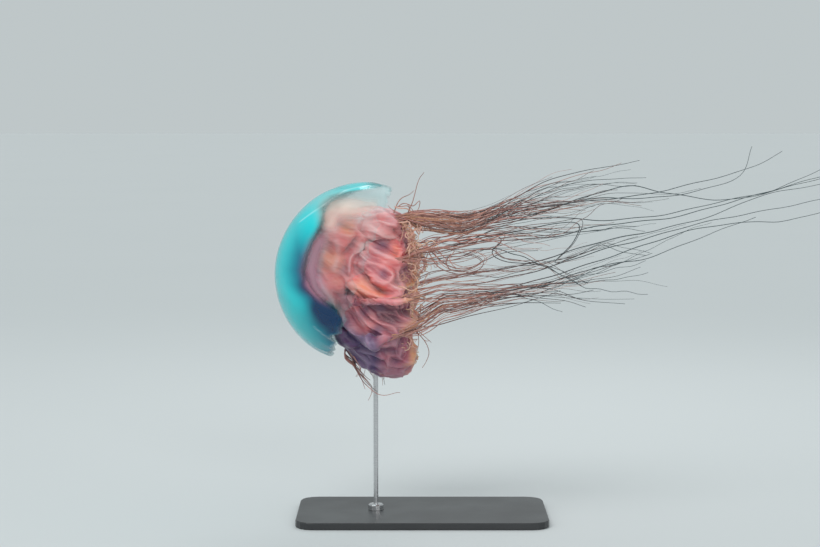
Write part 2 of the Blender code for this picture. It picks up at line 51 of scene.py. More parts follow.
bellShape = {
    "radius": 0.152,
    "height": 0.146,
    "apexWall": 0.022,
    "rimWall": 0.004,
    "turn": -70.4,  # degrees about +Y
    "lobes": 8,
    "band": 0.040,  # height of the band that the clefts reach into
    "clefts": ((0.0, 0.014), (0.25, 0.004), (0.5, 0.007), (0.75, 0.004), (1.0, 0.014)),
    "lip": 0.0014,
    "curl": 0.0026,
    "welt": 0.0007,  # height of the creases
    "swell": 0.0009,  # height of the slow unevenness of the skin
    "segments": 256,
    "creases": (  # angle and height of both ends, width, strength
        (-50, 0.124, -38, 0.096, 0.0032, 0.7),
        (-38, 0.096, -22, 0.072, 0.0036, 1.0),
        (-22, 0.072, -8, 0.014, 0.0036, 0.8),
        (-134, 0.046, -138, 0.004, 0.0022, 0.7),
        (-152, 0.070, -160, 0.020, 0.0020, 0.4),
        (50, 0.124, 38, 0.096, 0.0026, 0.8),
        (38, 0.096, 22, 0.072, 0.0028, 0.8),
        (128, 0.060, 136, 0.006, 0.0022, 0.8),
    ),
}
bellTurn = Matrix.Rotation(math.radians(bellShape["turn"]), 3, "Y")
lowCorner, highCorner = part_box("bell")
rimReach = bellShape["radius"] * math.cos(math.pi / 32)  # beside each cleft the rim keeps its full radius
rimTop = bellTurn @ Vector((1, 0, 0))
rimCentre = Vector((
    highCorner.x - rimReach * rimTop.x,
    (lowCorner.y + highCorner.y) / 2,
    lowCorner.z + rimReach * rimTop.z,
))
gap = 0.0003


def metres(value):  # a number or a whole table of them, from millimetres
    if isinstance(value, dict):
        return {key: metres(part) for key, part in value.items()}
    if isinstance(value, tuple):
        return tuple(metres(part) for part in value)
    return round(value / 1000, 7)


def smoothStep(value):
    value = min(1.0, max(0.0, value))
    return value * value * (3.0 - 2.0 * value)


def smoothSteps(values):
    values = np.clip(values, 0.0, 1.0)
    return values * values * (3.0 - 2.0 * values)


def curveThrough(points, step):  # about one step apart along a smooth curve through the given points
    knots = [Vector(point) for point in points]
    knots = [2 * knots[0] - knots[1], *knots, 2 * knots[-1] - knots[-2]]
    line = [knots[1]]
    for before, start, end, after in zip(knots, knots[1:], knots[2:], knots[3:]):
        pieces = max(1, round((end - start).length / step))
        for number in range(1, pieces + 1):
            t = number / pieces
            bend = (2 * before - 5 * start + 4 * end - after) * t**2
            bend += (3 * start - before - 3 * end + after) * t**3
            line.append(start + 0.5 * ((end - before) * t + bend))
    return line


def flatCurve(route, step):  # the same for (x, z) places, all with y = 0
    return curveThrough([(x, 0.0, z) for x, z in route], step)


def inBell(angle, radius, height):  # the angle is from the bell's top in degrees, far side positive
    turned = math.radians(angle)
    return bellTurn @ Vector((math.cos(turned) * radius, math.sin(turned) * radius, height))


def readVectors(mesh, kind):  # "co" for the places and "normal" for the normals
    found = np.empty(len(mesh.vertices) * 3, np.float32)
    mesh.vertices.foreach_get(kind, found)
    return found.reshape(-1, 3).astype(np.float64)


def paint(mesh, name, values):
    layer = mesh.attributes.get(name) or mesh.attributes.new(name, "FLOAT", "POINT")
    layer.data.foreach_set("value", np.asarray(values, np.float32))


def meshFrom(bm, name):
    mesh = bpy.data.meshes.new(name)
    bm.to_mesh(mesh)
    bm.free()
    return mesh


def toMesh(bm, name):  # with its faces turned outwards
    bmesh.ops.recalc_face_normals(bm, faces=bm.faces)
    if bm.calc_volume(signed=True) < 0:
        bmesh.ops.reverse_faces(bm, faces=bm.faces)
    return meshFrom(bm, name)


def linked(name, data):
    made = bpy.data.objects.new(name, data)
    bpy.context.scene.collection.objects.link(made)
    return made


def addPiece(name, mesh, look, replaced=()):
    mesh.materials.clear()
    mesh.materials.append(look)
    mesh.shade_smooth()
    piece = linked(name, mesh)
    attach(piece, "root")
    if replaced:
        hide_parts(*replaced)
    print(f"{name}: {len(mesh.polygons)} faces")
    return piece


def nodesNamed(*starts):
    return sorted(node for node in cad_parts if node.startswith(starts))


massEdge = metres((  # left edge of the stomach and arms from the side as (z, x): pigment gathers beside it
    (-113, -24), (-88, -28), (-63, -36), (-50, -46), (-38, -62), (-22, -78), (-12, -86), (13, -92), (38, -87),
    (63, -77), (88, -64), (104, -55), (113, -55), (122, -47), (132, -35), (138, -14), (143, 24),
))
# painted shadow in the hollow: (x, z), radius and amount of each spot
paintedShadowSpots = (
    ((-0.056, -0.062), 0.022, 1.25),
    ((-0.040, -0.092), 0.015, 1.0),
    ((-0.070, -0.044), 0.014, 0.9),
    ((-0.092, -0.014), 0.010, 0.6),
)
hazeSpots = (
    ((-0.022, 0.115), (0.034, 0.016), 0.90),
    ((0.032, 0.117), (0.026, 0.013), 0.42),
    ((-0.050, 0.092), (0.013, 0.018), 0.65),
)


def besideMass(offset):  # how far a place lies to the left of that edge
    return float(np.interp(offset.z, *np.array(massEdge).T)) - offset.x


def pigmentShare(offset):  # reaches a little way behind the mass on the far side
    reach = besideMass(offset) + 0.004 + 0.028 * smoothStep(offset.y / 0.04)
    return smoothStep(reach / (0.014 + 0.016 * smoothStep((offset.z - 0.08) / 0.04)))


def paintedLightShare(offset):  # painted light and shade: dark navy beside the mass, where the hollow lies in shade, light teal towards the crown and the top, slower low down
    slow = 1.0 + 0.70 * smoothStep((-0.030 - offset.z) / 0.040)
    return max(smoothStep(besideMass(offset) / slow / 0.052), smoothStep((offset.z - 0.015) / 0.085))


def paintedShadowShare(offset):  # painted shadow: the darkest pigment, in the hollow below the middle
    beside = besideMass(offset)
    total = 0.9 * math.exp(-((max(0.0, beside - 0.001) / 0.008) ** 2)) * smoothStep((0.022 - offset.z) / 0.04)
    for (x, z), radius, amount in paintedShadowSpots:
        away = math.hypot(offset.x - x, offset.z - z) / radius
        total += amount * math.exp(-(away**2))
    near = smoothStep((beside + 0.008 + 0.024 * smoothStep(offset.y / 0.04)) / 0.008)
    return min(1.0, total) * near * smoothStep((offset.z + 0.125) / 0.03)


def hazeShare(offset):  # milky jelly above the stomach
    total = 0.0
    for (x, z), (wide, high), amount in hazeSpots:
        total += amount * math.exp(-(((offset.x - x) / wide) ** 2) - ((offset.z - z) / high) ** 2)
    return min(1.0, total) * (1.0 - 0.6 * smoothStep(offset.y / 0.04))


def blushPaintedLightShare(offset):  # a violet veil along the edge of the mass, partly the flesh's own violet and partly painted light that lifts the shade cast by the opaque gel
    beside = besideMass(offset)
    band = math.exp(-(((beside + 0.012) / 0.012) ** 2))
    level = smoothStep((offset.z + 0.050) / 0.030) * smoothStep((0.090 - offset.z) / 0.035)
    return band * level * (1.0 - 0.7 * smoothStep(offset.y / 0.04))


def rimFade(offset, level):  # the pigment stops short of the rim, least of all low down
    return smoothStep(level / (0.008 + 0.016 * smoothStep((offset.z + 0.02) / 0.08)))


# Materials

class NodeDesk:  # lays out one material's nodes
    def __init__(self, name):
        self.material = bpy.data.materials.new(name)
        self.material.use_nodes = True
        self.tree = self.material.node_tree
        self.shader = self.tree.nodes["Principled BSDF"]
        self.output = self.tree.nodes["Material Output"]

    def plug(self, socket, value):
        if isinstance(value, bpy.types.NodeSocket):
            self.tree.links.new(value, socket)
        elif isinstance(value, tuple) and len(value) == 3 and socket.type == "RGBA":
            socket.default_value = (*value, 1.0)
        else:
            socket.default_value = value

    def fill(self, node, inputs):  # inputs are sockets, by name or number, and what goes into them
        for key, value in inputs.items():
            self.plug(node.inputs[key], value)

    def add(self, kind, inputs, settings=None):
        node = self.tree.nodes.new(kind)
        for key, value in (settings or {}).items():
            setattr(node, key, value)
        self.fill(node, inputs)
        return node

    def attribute(self, name):
        return self.add("ShaderNodeAttribute", {}, {"attribute_name": name}).outputs["Fac"]

    def objectPlace(self, turn=(0, 0, 0), size=(1, 1, 1)):
        place = self.add("ShaderNodeTexCoord", {}).outputs["Object"]
        turned = [math.radians(angle) for angle in turn]
        inputs = {"Vector": place, "Rotation": turned, "Scale": size}
        return self.add("ShaderNodeMapping", inputs).outputs["Vector"]

    def cloud(self, scale, detail=3.0, place=None, rough=0.5):
        inputs = {"Scale": scale, "Detail": detail, "Roughness": rough, "Vector": place or self.objectPlace()}
        return self.add("ShaderNodeTexNoise", inputs).outputs["Fac"]

    def ramp(self, value, low, high, start=0.0, end=1.0):
        inputs = {"Value": value, "From Min": low, "From Max": high, "To Min": start, "To Max": end}
        return self.add("ShaderNodeMapRange", inputs).outputs["Result"]

    def maths(self, operation, first, second):
        return self.add("ShaderNodeMath", {0: first, 1: second}, {"operation": operation}).outputs["Value"]

    def plus(self, first, second):
        return self.maths("ADD", first, second)

    def minus(self, first, second):
        return self.maths("SUBTRACT", first, second)

    def times(self, first, second):
        return self.maths("MULTIPLY", first, second)

    def most(self, first, second):
        return self.maths("MAXIMUM", first, second)

    def blend(self, share, first, second):
        inputs = {"Factor": share, 6: first, 7: second}
        return self.add("ShaderNodeMix", inputs, {"data_type": "RGBA"}).outputs[2]

    def layers(self, colour, *coats):  # coats are (share, colour), each over what lies below it
        for share, coat in coats:
            colour = self.blend(share, colour, coat)
        return colour

    def bump(self, height, strength, distance):
        node = self.add("ShaderNodeBump", {"Height": height, "Strength": strength, "Distance": distance})
        self.plug(self.shader.inputs["Normal"], node.outputs["Normal"])

    def set(self, inputs):
        self.fill(self.shader, inputs)


# The bell

gelLook = {
    "body": (0.30, 0.74, 0.76),
    "milk": (0.90, 0.95, 0.94),
    "haze": (0.76, 0.61, 0.53),
    # partly the mass's own violet, partly painted light over the shade of the gel
    "blushPaintedLight": (0.54, 0.22, 0.29),
    "clear": 0.012,
    "milky": 0.60,
    # painted light: the light teal away from the mass
    "paintedLight": (0.0, 0.66, 0.70),
    # painted shade: the dark navy beside the mass
    "deep": (0.0, 0.085, 0.19),
    # painted shadow: the darkest navy in the hollow
    "paintedShadow": (0.000, 0.032, 0.105),
    "veil": 0.90,
    "density": 3.0,  # what the gel takes out of white light on its way through
    "passes": (0.0, 0.90, 0.92),
    "scatter": 1.6,  # and how much it scatters, so that its thick parts glow
    "glow": (0.16, 0.88, 0.93),
}


def makeGelMaterial():
    desk = NodeDesk("bell gel")
    mottle = desk.ramp(desk.cloud(38.0, 4.0), 0.35, 0.75)
    milk = desk.plus(desk.attribute("milk"), desk.times(mottle, 0.03))
    paintedShadow, haze, blushPaintedLight = desk.attribute("paintedShadow"), desk.attribute("haze"), desk.attribute("blushPaintedLight")
    covered = desk.most(desk.attribute("thick"), paintedShadow)
    # painted light and shade: light teal blended with dark navy beside the mass
    pigment = desk.blend(desk.attribute("paintedLight"), gelLook["deep"], gelLook["paintedLight"])
    colour = desk.layers(
        gelLook["body"],
        (desk.ramp(covered, 0.0, 0.04), pigment),
        # painted shadow in the hollow
        (paintedShadow, gelLook["paintedShadow"]),
        (desk.ramp(haze, 0.0, 0.5), gelLook["haze"]),
        # partly violet, partly painted light over the shaded edge of the mass
        (desk.ramp(blushPaintedLight, 0.0, 0.6, 0.0, 0.9), gelLook["blushPaintedLight"]),
        (desk.ramp(milk, 0.05, 0.7, 0.0, 0.8), gelLook["milk"]),
    )
    solid = desk.ramp(milk, 0.0, 1.0, gelLook["clear"], gelLook["milky"])
    solid = desk.plus(solid, desk.times(covered, gelLook["veil"]))
    solid = desk.most(solid, desk.times(haze, desk.ramp(mottle, 0.0, 1.0, 0.75, 1.0)))
    solid = desk.most(solid, desk.times(blushPaintedLight, 0.60))
    desk.set({
        "Base Color": colour,
        "Alpha": solid,
        "Roughness": desk.ramp(mottle, 0.0, 1.0, 0.12, 0.26),
        "IOR": 1.36,
        "Coat Weight": 0.30,
        "Coat Roughness": 0.10,
    })
    desk.bump(desk.cloud(55.0, 3.0), 0.12, 0.002)
    taken = desk.add(
        "ShaderNodeVolumeAbsorption", {"Color": gelLook["passes"], "Density": gelLook["density"]}
    )
    thrown = desk.add(
        "ShaderNodeVolumeScatter",
        {"Color": gelLook["glow"], "Density": gelLook["scatter"], "Anisotropy": 0.25},
    )
    both = desk.add("ShaderNodeAddShader", {0: taken.outputs["Volume"], 1: thrown.outputs["Volume"]})
    desk.plug(desk.output.inputs["Volume"], both.outputs["Shader"])
    return desk.material


def rimCut(angle):  # how far the rim is cut back: a cleft between lobes, and notches between their lappets
    part = (angle / (2 * math.pi) * bellShape["lobes"]) % 1.0
    return max(depth * (1.0 - smoothStep(abs(part - place) * 7.0)) for place, depth in bellShape["clefts"])


def domeProfile(radius, height, last, count):
    angles = [math.radians(last) * i / (count - 1) for i in range(count)]
    return [Vector((radius * math.sin(a), 0.0, height * math.cos(a))) for a in angles]


def spunShell(profile, segments):
    bm = bmesh.new()
    verts = [bm.verts.new(point) for point in profile]
    edges = [bm.edges.new(pair) for pair in zip(verts, verts[1:])]
    bmesh.ops.spin(
        bm,
        geom=verts + edges,
        cent=(0, 0, 0),
        axis=(0, 0, 1),
        angle=2 * math.pi,
        steps=segments,
        use_merge=True,
    )
    bmesh.ops.remove_doubles(bm, verts=bm.verts, dist=1e-6)
    return bm


def creaseStrength(angle, height):
    arc = 0.13  # metres along the skin for each radian
    spot = Vector((angle * arc, height))
    total = 0.0
    for startAngle, startHeight, endAngle, endHeight, width, strength in bellShape["creases"]:
        start = Vector((math.radians(startAngle) * arc, startHeight))
        end = Vector((math.radians(endAngle) * arc, endHeight))
        along = end - start
        share = min(1.0, max(0.0, (spot - start).dot(along) / along.length_squared))
        away = (spot - start - along * share).length
        if away < 5 * width:
            total += strength * math.exp(-((away / width) ** 2))
    return min(1.0, total)


def milkShare(angle, level, crease):  # in the creases, where the whitening is a painted highlight streak, at the rim, along the canals and in the top lobe
    edge = math.exp(-(max(0.0, level) / 0.004)) * (0.25 + 0.75 * smoothStep((abs(angle) - 1.9) / 0.5))
    flap = smoothStep((0.045 - level) / 0.04) * smoothStep((0.62 - abs(angle)) / 0.3)
    canal = math.exp(-((math.sin(8 * angle) / 0.10) ** 2)) * smoothStep(level / 0.02)
    canal *= smoothStep((0.085 - level) / 0.05)
    rough = 0.5 + 0.5 * noise.noise(Vector((3 * math.cos(angle), 3 * math.sin(angle), 30 * level)))
    total = 0.34 * crease * (0.4 + 0.7 * rough) + 0.30 * edge + 0.05 * canal * rough
    return min(1.0, total + 0.34 * flap * rough)


def rimStretch(angle, level):  # how far out and how high the clefts and the curl of the rim take a place
    height, low = bellShape["height"], 1.0 - max(0.0, level) / bellShape["band"]
    lifted = level + rimCut(angle) * low
    width = math.sqrt(1 - (lifted / height) ** 2)
    if level > 0:
        width = math.sqrt((1 - (lifted / height) ** 2) / (1 - (level / height) ** 2))
    waves = math.cos(32 * angle) * 0.5 - 0.5 + math.sin(5 * angle) * 0.4
    return width + bellShape["curl"] / bellShape["radius"] * low**2 * waves, lifted


def bellMesh(bm, name, shares, rows):  # turns a spun shell onto the bell's axis and paints its shares
    bmesh.ops.transform(bm, matrix=Matrix.Translation(rimCentre) @ bellTurn.to_4x4(), verts=bm.verts)
    mesh = toMesh(bm, name)
    for share, values in zip(shares, zip(*rows)):
        paint(mesh, share, values)
    return mesh


def makeBell():
    radius, height = bellShape["radius"], bellShape["height"]
    lip = Vector((radius - bellShape["rimWall"] / 2, 0.0, -bellShape["lip"]))
    outer = domeProfile(radius, height, 90.0, 46)
    inner = domeProfile(radius - bellShape["rimWall"], height - bellShape["apexWall"], 90.0, 40)
    bm = spunShell([*outer, lip, *inner[::-1]], bellShape["segments"])
    rows = []
    for vert in bm.verts:
        angle, level = math.atan2(vert.co.y, vert.co.x), vert.co.z
        away = math.hypot(vert.co.x, vert.co.y)
        skin = level >= height or away / radius > math.sqrt(max(0.0, 1 - (level / height) ** 2)) - 0.012
        crease = creaseStrength(angle, level) if skin else 0.0
        if level < bellShape["band"]:
            width, lifted = rimStretch(angle, level)
            vert.co = (vert.co.x * width, vert.co.y * width, lifted)
        if skin:
            vert.co += vert.co.normalized() * bellShape["welt"] * crease
        vert.co += vert.co.normalized() * bellShape["swell"] * noise.noise(vert.co * 16.0)
        offset = bellTurn @ vert.co
        crown = 1.0 - 0.22 * smoothStep((besideMass(offset) - 0.030) / 0.040)
        rows.append((
            milkShare(angle, level, crease),
            pigmentShare(offset) * rimFade(offset, level) * crown * (1.0 if skin else 0.30),
            paintedLightShare(offset),
            paintedShadowShare(offset) * smoothStep((level - 0.002) / 0.010) * (1.0 if skin else 0.6),
            hazeShare(offset) * (smoothStep(level / 0.020) if skin else 0.0),
            blushPaintedLightShare(offset) if skin else 0.0,
        ))
    mesh = bellMesh(bm, "bellGel", ("milk", "thick", "paintedLight", "paintedShadow", "haze", "blushPaintedLight"), rows)
    return addPiece("bellGel", mesh, makeGelMaterial(), ("bell",))


liningShape = {"wall": 0.0022, "hem": 84.3, "ridge": 0.0007, "ridges": 26, "pleat": 0.0016, "segments": 192}
liningLook = {
    # deep: painted shade, the navy laid over the lining beside the mass
    "deep": (0.002, 0.100, 0.190),
    # painted shadow: the darkest navy in the hollow
    "paintedShadow": (0.006, 0.010, 0.060),
    "pale": (0.05, 0.50, 0.56),
    "ridge": (0.30, 0.66, 0.70),
}


def makeLiningMaterial():
    desk = NodeDesk("muscle lining")
    veil, paintedShadow, ridge = desk.attribute("veil"), desk.attribute("paintedShadow"), desk.attribute("ridge")
    patch = desk.ramp(desk.cloud(26.0, 4.0), 0.3, 0.7)
    # painted shade: navy over the pale lining beside the mass, darkest where the painted shadow of the hollow
    # lies
    colour = desk.layers(
        liningLook["pale"],
        (desk.most(veil, desk.ramp(paintedShadow, 0.0, 0.1)), liningLook["deep"]),
        (paintedShadow, liningLook["paintedShadow"]),
        (desk.times(ridge, 0.22), liningLook["ridge"]),
    )
    solid = desk.plus(desk.ramp(veil, 0.0, 1.0, 0.004, 0.14), desk.times(paintedShadow, 0.60))
    solid = desk.plus(solid, desk.times(desk.times(patch, ridge), 0.02))
    rough = desk.ramp(patch, 0.0, 1.0, 0.28, 0.45)
    desk.set({"Base Color": colour, "Alpha": solid, "Roughness": rough, "Sheen Weight": 0.15})
    desk.bump(desk.cloud(120.0, 2.0), 0.15, 0.001)
    return desk.material


def makeLining():
    radius = bellShape["radius"] - bellShape["rimWall"] - 2 * gap
    height = bellShape["height"] - bellShape["apexWall"] - 2 * gap
    wall, hem = liningShape["wall"], liningShape["hem"]
    outer = domeProfile(radius, height, hem, 48)
    inner = domeProfile(radius - wall, height - wall, hem, 48)
    bm = spunShell(outer + inner[::-1], liningShape["segments"])
    rows = []
    for vert in bm.verts:
        angle, level = math.atan2(vert.co.y, vert.co.x), vert.co.z
        ring = math.sin(2 * math.pi * liningShape["ridges"] * level / height)
        fold = math.cos(16 * angle + 1.2 * noise.noise(vert.co * 20.0))
        away = smoothStep(math.hypot(vert.co.x, vert.co.y) / 0.03)
        reach = math.hypot(vert.co.x / radius, vert.co.z / height, vert.co.y / radius)
        if reach < 0.99:  # the inside only, so that the outside stays against the gel
            depth = liningShape["ridge"] * (1 + ring) + liningShape["pleat"] * (1 + fold)
            vert.co *= 1.0 - depth * 0.5 * away / radius
        offset = bellTurn @ vert.co
        above = smoothStep((level - 0.012) / 0.012)
        beside = math.exp(-((max(0.0, besideMass(offset)) / 0.035) ** 2))
        # the first share is painted shade beside the mass, the second the painted shadow in the hollow
        rows.append((
            pigmentShare(offset) * above * (0.35 + 0.65 * beside),
            paintedShadowShare(offset) * above,
            0.5 + 0.5 * ring * away,
        ))
    mesh = bellMesh(bm, "bellLining", ("veil", "paintedShadow", "ridge"), rows)
    return addPiece("bellLining", mesh, makeLiningMaterial(), ("subumbrella",))


# Tentacle clusters, one of each kind on the near side and one on the far side: the angle of the root on the
# ring, then in millimetres the sections of the near length as (x, y, z, half height, half width), and in
# metres the lane that the strands run in

clusterRing = 0.112
clusterShapes = {
    "upper": (22.5, metres(((60, 43, 96, 13, 22), (105, 40, 89, 16, 21), (165, 33, 83, 16, 17))), 0.02),
    "middle": (67.5, metres(((55, 104, 38, 20, 7), (95, 98, 36, 15, 8), (135, 90, 42, 12, 10))), 0.065),
    "lower": (112.5, metres(((30, 106, -42, 18, 7), (80, 106, -36, 13, 9), (135, 100, -24, 11, 10))), 0.09),
    "bottom": (157.5, metres((
        (-5, 74, -112, 12, 9), (35, 94, -102, 13, 7), (80, 82, -88, 13, 9), (135, 60, -56, 12, 11),
    )), 0.04),
}
guideRoutes = metres({  # the two strands that each cluster's fan lies between, as (x, z) in millimetres
    ("upper", "near"): (
        ((226, 113), (318, 158), (399, 176), (460, 188)),
        ((273, 106), (366, 119), (465, 131), (556, 152), (640, 175), (697, 203)),
    ),
    ("upper", "far"): (
        ((274, 109), (399, 123), (481, 124), (563, 137), (632, 163), (651, 211)),
        ((274, 92), (368, 123), (445, 144), (510, 133), (598, 122), (680, 135), (800, 187)),
    ),
    ("middle", "near"): (
        ((224, 59), (316, 64), (391, 82), (506, 96), (591, 118), (750, 161), (800, 176)),
        ((211, 46), (232, 30), (305, 16), (374, -13)),
    ),
    ("middle", "far"): (
        ((230, 76), (325, 88), (404, 83), (511, 94), (606, 117), (689, 134), (830, 170)),
        ((230, 52), (340, 60), (430, 70), (480, 66)),
    ),
    ("lower", "near"): (
        ((223, -18), (292, -4), (389, 27), (537, 77), (639, 90), (700, 92), (800, 118)),
        ((226, -28), (320, -38), (368, -50)),
    ),
    ("lower", "far"): (
        ((183, -10), (279, 5), (406, 44), (502, 66), (598, 93), (682, 127), (830, 153)),
        ((200, -26), (300, -5), (406, 30), (478, 50), (574, 79), (706, 105), (840, 131)),
    ),
    ("bottom", "near"): (
        ((225, -26), (295, -18), (394, 13), (473, 28), (556, 61), (650, 96)),
        ((250, -38), (330, -36), (385, -27)),
    ),
    ("bottom", "far"): (
        ((260, -30), (340, -16), (406, 2), (490, 30)),
        ((250, -42), (320, -40), (372, -49)),
    ),
})
looseRoutes = metres({  # single strands that start at the end of the near length, as (x, y, z) in millimetres
    ("middle", "near"): (
        (
            (146, -91, 38), (138, -107, 26), (148, -110, 13), (176, -106, 14), (195, -100, 27),
            (176, -98, 37), (158, -104, 40),
        ),
        (
            (108, -80, 50), (114, -92, 34), (128, -98, 16), (158, -100, 6), (186, -98, 10), (199, -96, 22),
            (190, -94, 34), (160, -92, 42), (126, -86, 48),
        ),
        (
            (130, -80, 56), (180, -74, 66), (222, -70, 66), (229, -68, 56), (216, -66, 44), (217, -66, 33),
            (239, -64, 23), (278, -60, 19), (302, -58, 14), (331, -56, -1), (362, -54, -17),
            (374, -54, -12),
        ),
        ((116, -82, 40), (140, -90, 20), (172, -90, 14), (204, -86, 28), (238, -80, 40), (290, -74, 42)),
    ),
    ("middle", "far"): (
        (
            (160, 86, 46), (240, 70, 60), (330, 60, 78), (368, 60, 76), (358, 64, 44), (328, 66, 11),
            (362, 66, 20), (404, 64, 41), (440, 64, 30), (483, 62, 24),
        ),
    ),
    ("bottom", "near"): (((146, -55, -62), (190, -48, -52), (262, -46, -47), (330, -46, -48)),),
})
sideRoutes = metres({  # two that stand up over the rim, three that hang, and the lowest strand of all
    ("bottom", "near"): (
        ((66, -60, -78), (88, -60, -86), (94, -56, -106), (92, -52, -126)),
        (
            (66, -58, -82), (90, -58, -94), (105, -54, -111), (111, -50, -128), (107, -48, -143),
            (100, -46, -155),
        ),
        ((66, -56, -80), (90, -56, -90), (103, -54, -101), (115, -50, -112)),
    ),
    ("upper", "near"): (
        ((52, -30, 100), (62, -26, 121), (86, -24, 142)),
        ((74, -34, 96), (83, -32, 120), (94, -30, 152), (103, -30, 172)),
    ),
    ("bottom", "far"): (((70, 83, -92), (110, 72, -100), (182, 54, -79), (253, 50, -63), (288, 50, -52)),),
})


def sideName(side):
    return "near" if side < 0 else "far"


def clusterSections(kind, side):  # (centre, up, across, half height, half width), root first
    angle, stations, _ = clusterShapes[kind]
    outward = inBell(angle * side, 1.0, 0.0).normalized()
    around = inBell(0.0, 0.0, 1.0).cross(outward).normalized()
    sections = [(inBell(angle * side, clusterRing, 0.004), around, outward, 0.023, 0.005)]
    for x, y, z, halfHeight, halfWidth in stations:
        up, across = Vector((0, 0, 1)), Vector((0, 1, 0))
        if kind == "upper":
            up, across, halfHeight, halfWidth = across, up, halfWidth, halfHeight
        if up.dot(sections[-1][1]) < 0:
            up = -up
        if up.cross(across).dot(sections[-1][1].cross(sections[-1][2])) < 0:
            across = -across
        sections.append((Vector((x, y * side, z)), up, across, halfHeight, halfWidth))
    return sections


def fineSections(kind, side, count):  # the same near length in count small steps
    sections = clusterSections(kind, side)
    centres = curveThrough([section[0] for section in sections], 0.002)
    lengths = [0.0]
    for start, end in zip(sections, sections[1:]):
        lengths.append(lengths[-1] + (end[0] - start[0]).length)
    done = []
    for number in range(count):
        share = number / (count - 1)
        reach = share * lengths[-1]
        index = max(i for i in range(len(sections) - 1) if lengths[i] <= reach + 1e-9)
        part = (reach - lengths[index]) / (lengths[index + 1] - lengths[index])
        start, end = sections[index], sections[index + 1]
        up = start[1].lerp(end[1], part).normalized()
        across = start[2].lerp(end[2], part)
        across = (across - up * across.dot(up)).normalized()
        sizes = [start[i] * (1 - part) + end[i] * part for i in (3, 4)]
        done.append((centres[round(share * (len(centres) - 1))], up, across, *sizes))
    return done


def laneY(kind, side, x, spread):
    _, stations, lane = clusterShapes[kind]
    startX, startY, _, _, halfWidth = stations[-1]
    eased = smoothStep((x - startX) / 0.16)
    drawn = 1.0 - 0.32 * smoothStep((x - 0.35) / 0.45)
    across = spread * (halfWidth * 0.6 * (1 - eased) + 0.005 * eased)
    return side * drawn * (startY + (lane - startY) * eased + across)


def drifted(points):  # the slow sideways drift that all the tentacles share
    return [
        (x, y + 0.013 * math.sin(11.0 * (x - 0.17)) * smoothStep((x - 0.17) / 0.20), z) for x, y, z in points
    ]


def guideHeights(kind, side, which):
    _, stations, _ = clusterShapes[kind]
    x, _, z, halfHeight, _ = stations[-1]
    points = [(x + 0.012, z + halfHeight * (0.45, -0.45)[which])]
    return points + list(guideRoutes[kind, sideName(side)][which])


# The drapery: oral arms, gonads, stomach and the roots of the clusters under one skin

drapeShape = {
    "voxel": 0.0033,
    "swell": 0.0016,  # closes the fine gaps between the solids before they are made one skin
    "rootEnd": 0.090,  # the roots run out of flesh at this x
    "pole": (-0.165, 0.105),  # (x, z) of the point that the folds seem to fan out from
    "reach": 0.21,
    "farShift": (0.008, -0.006),  # the far side's own folds lie a little way from the near side's
    "folds": (  # waves per metre across and through the fan, and outwards, and height
        (15, 12, 4, 0.0090),
        (36, 28, 6, 0.0064),
        (84, 55, 9, 0.0044),
        (170, 100, 16, 0.0019),
    ),
    "fillings": metres((  # route as (x, z), half height and half width of the flesh that joins the solids
        (((-50, 83), (-26, 95), (6, 97), (40, 94), (66, 90)), 11, 50),
        (((-70, 30), (-30, 18), (10, -4), (55, -22)), 48, 70),
        (((-14, 72), (20, 77), (58, 80)), 21, 62),
        (((-64, 6), (-40, -28), (-22, -50), (-16, -72), (-2, -92)), 13, 64),
        (((-26, -60), (-31, -80), (-34, -98), (-26, -118)), 16, 52),
    )),
}
drapeFolds = metres((  # route as (x, z), half width and height of each fold of the near side, in millimetres
    (((-71, -6), (-46, -37), (-30, -55), (-25, -73), (-13, -94), (13, -107), (39, -112)), 6.5, 9.5),
    (((-20, 9), (-19, 27), (-10, 40), (0, 49), (13, 44), (34, 32), (54, 24), (72, 19)), 5, 8),
    (((-28, 114), (-8, 116), (18, 107), (41, 96), (64, 79), (72, 68)), 6, 4.5),
    (((-7, 88), (24, 76), (52, 65)), 7, 5),
    (((-30, 108), (-48, 88), (-58, 62), (-62, 40)), 7, 3.5),
    (((-2, 19), (23, 19), (46, 9), (51, -1), (39, -12), (18, -6)), 4.5, 4.5),
    (((-12, -12), (13, -27), (39, -35), (69, -29)), 6, 6.5),
    (((-2, -122), (13, -127), (33, -135)), 4.5, 4),
    (((-43, -89), (-23, -112), (-2, -133), (23, -148), (54, -156)), 6, 4),
    (((-40, 60), (-36, 34), (-46, 12)), 8, 3),
    (((11, 63), (34, 50), (57, 37)), 5.5, -4.2),
    (((-7, 64), (-20, 47), (-33, 36)), 6, -5),
    (((-23, -22), (-2, -42), (23, -53), (54, -55), (80, -60)), 5, -5.5),
    (((-82, -18), (-60, -48), (-44, -68), (-38, -84)), 8, -6),
    (((-23, -99), (-2, -112), (18, -122), (39, -125)), 6, -6),
    (((10, -68), (34, -84), (64, -100)), 4, -4),
))
drapeMounds = metres((  # x, z, radius and height of the soft swellings of the near side, in millimetres
    (30, 70, 24, 6),
    (36, 4, 20, 5),
    (-51, 30, 22, 4),
    (-24, -14, 12, 6),
    (12, 62, 11, 7),
    (5, -80, 20, 3),
    (12, -112, 20, 3),
))
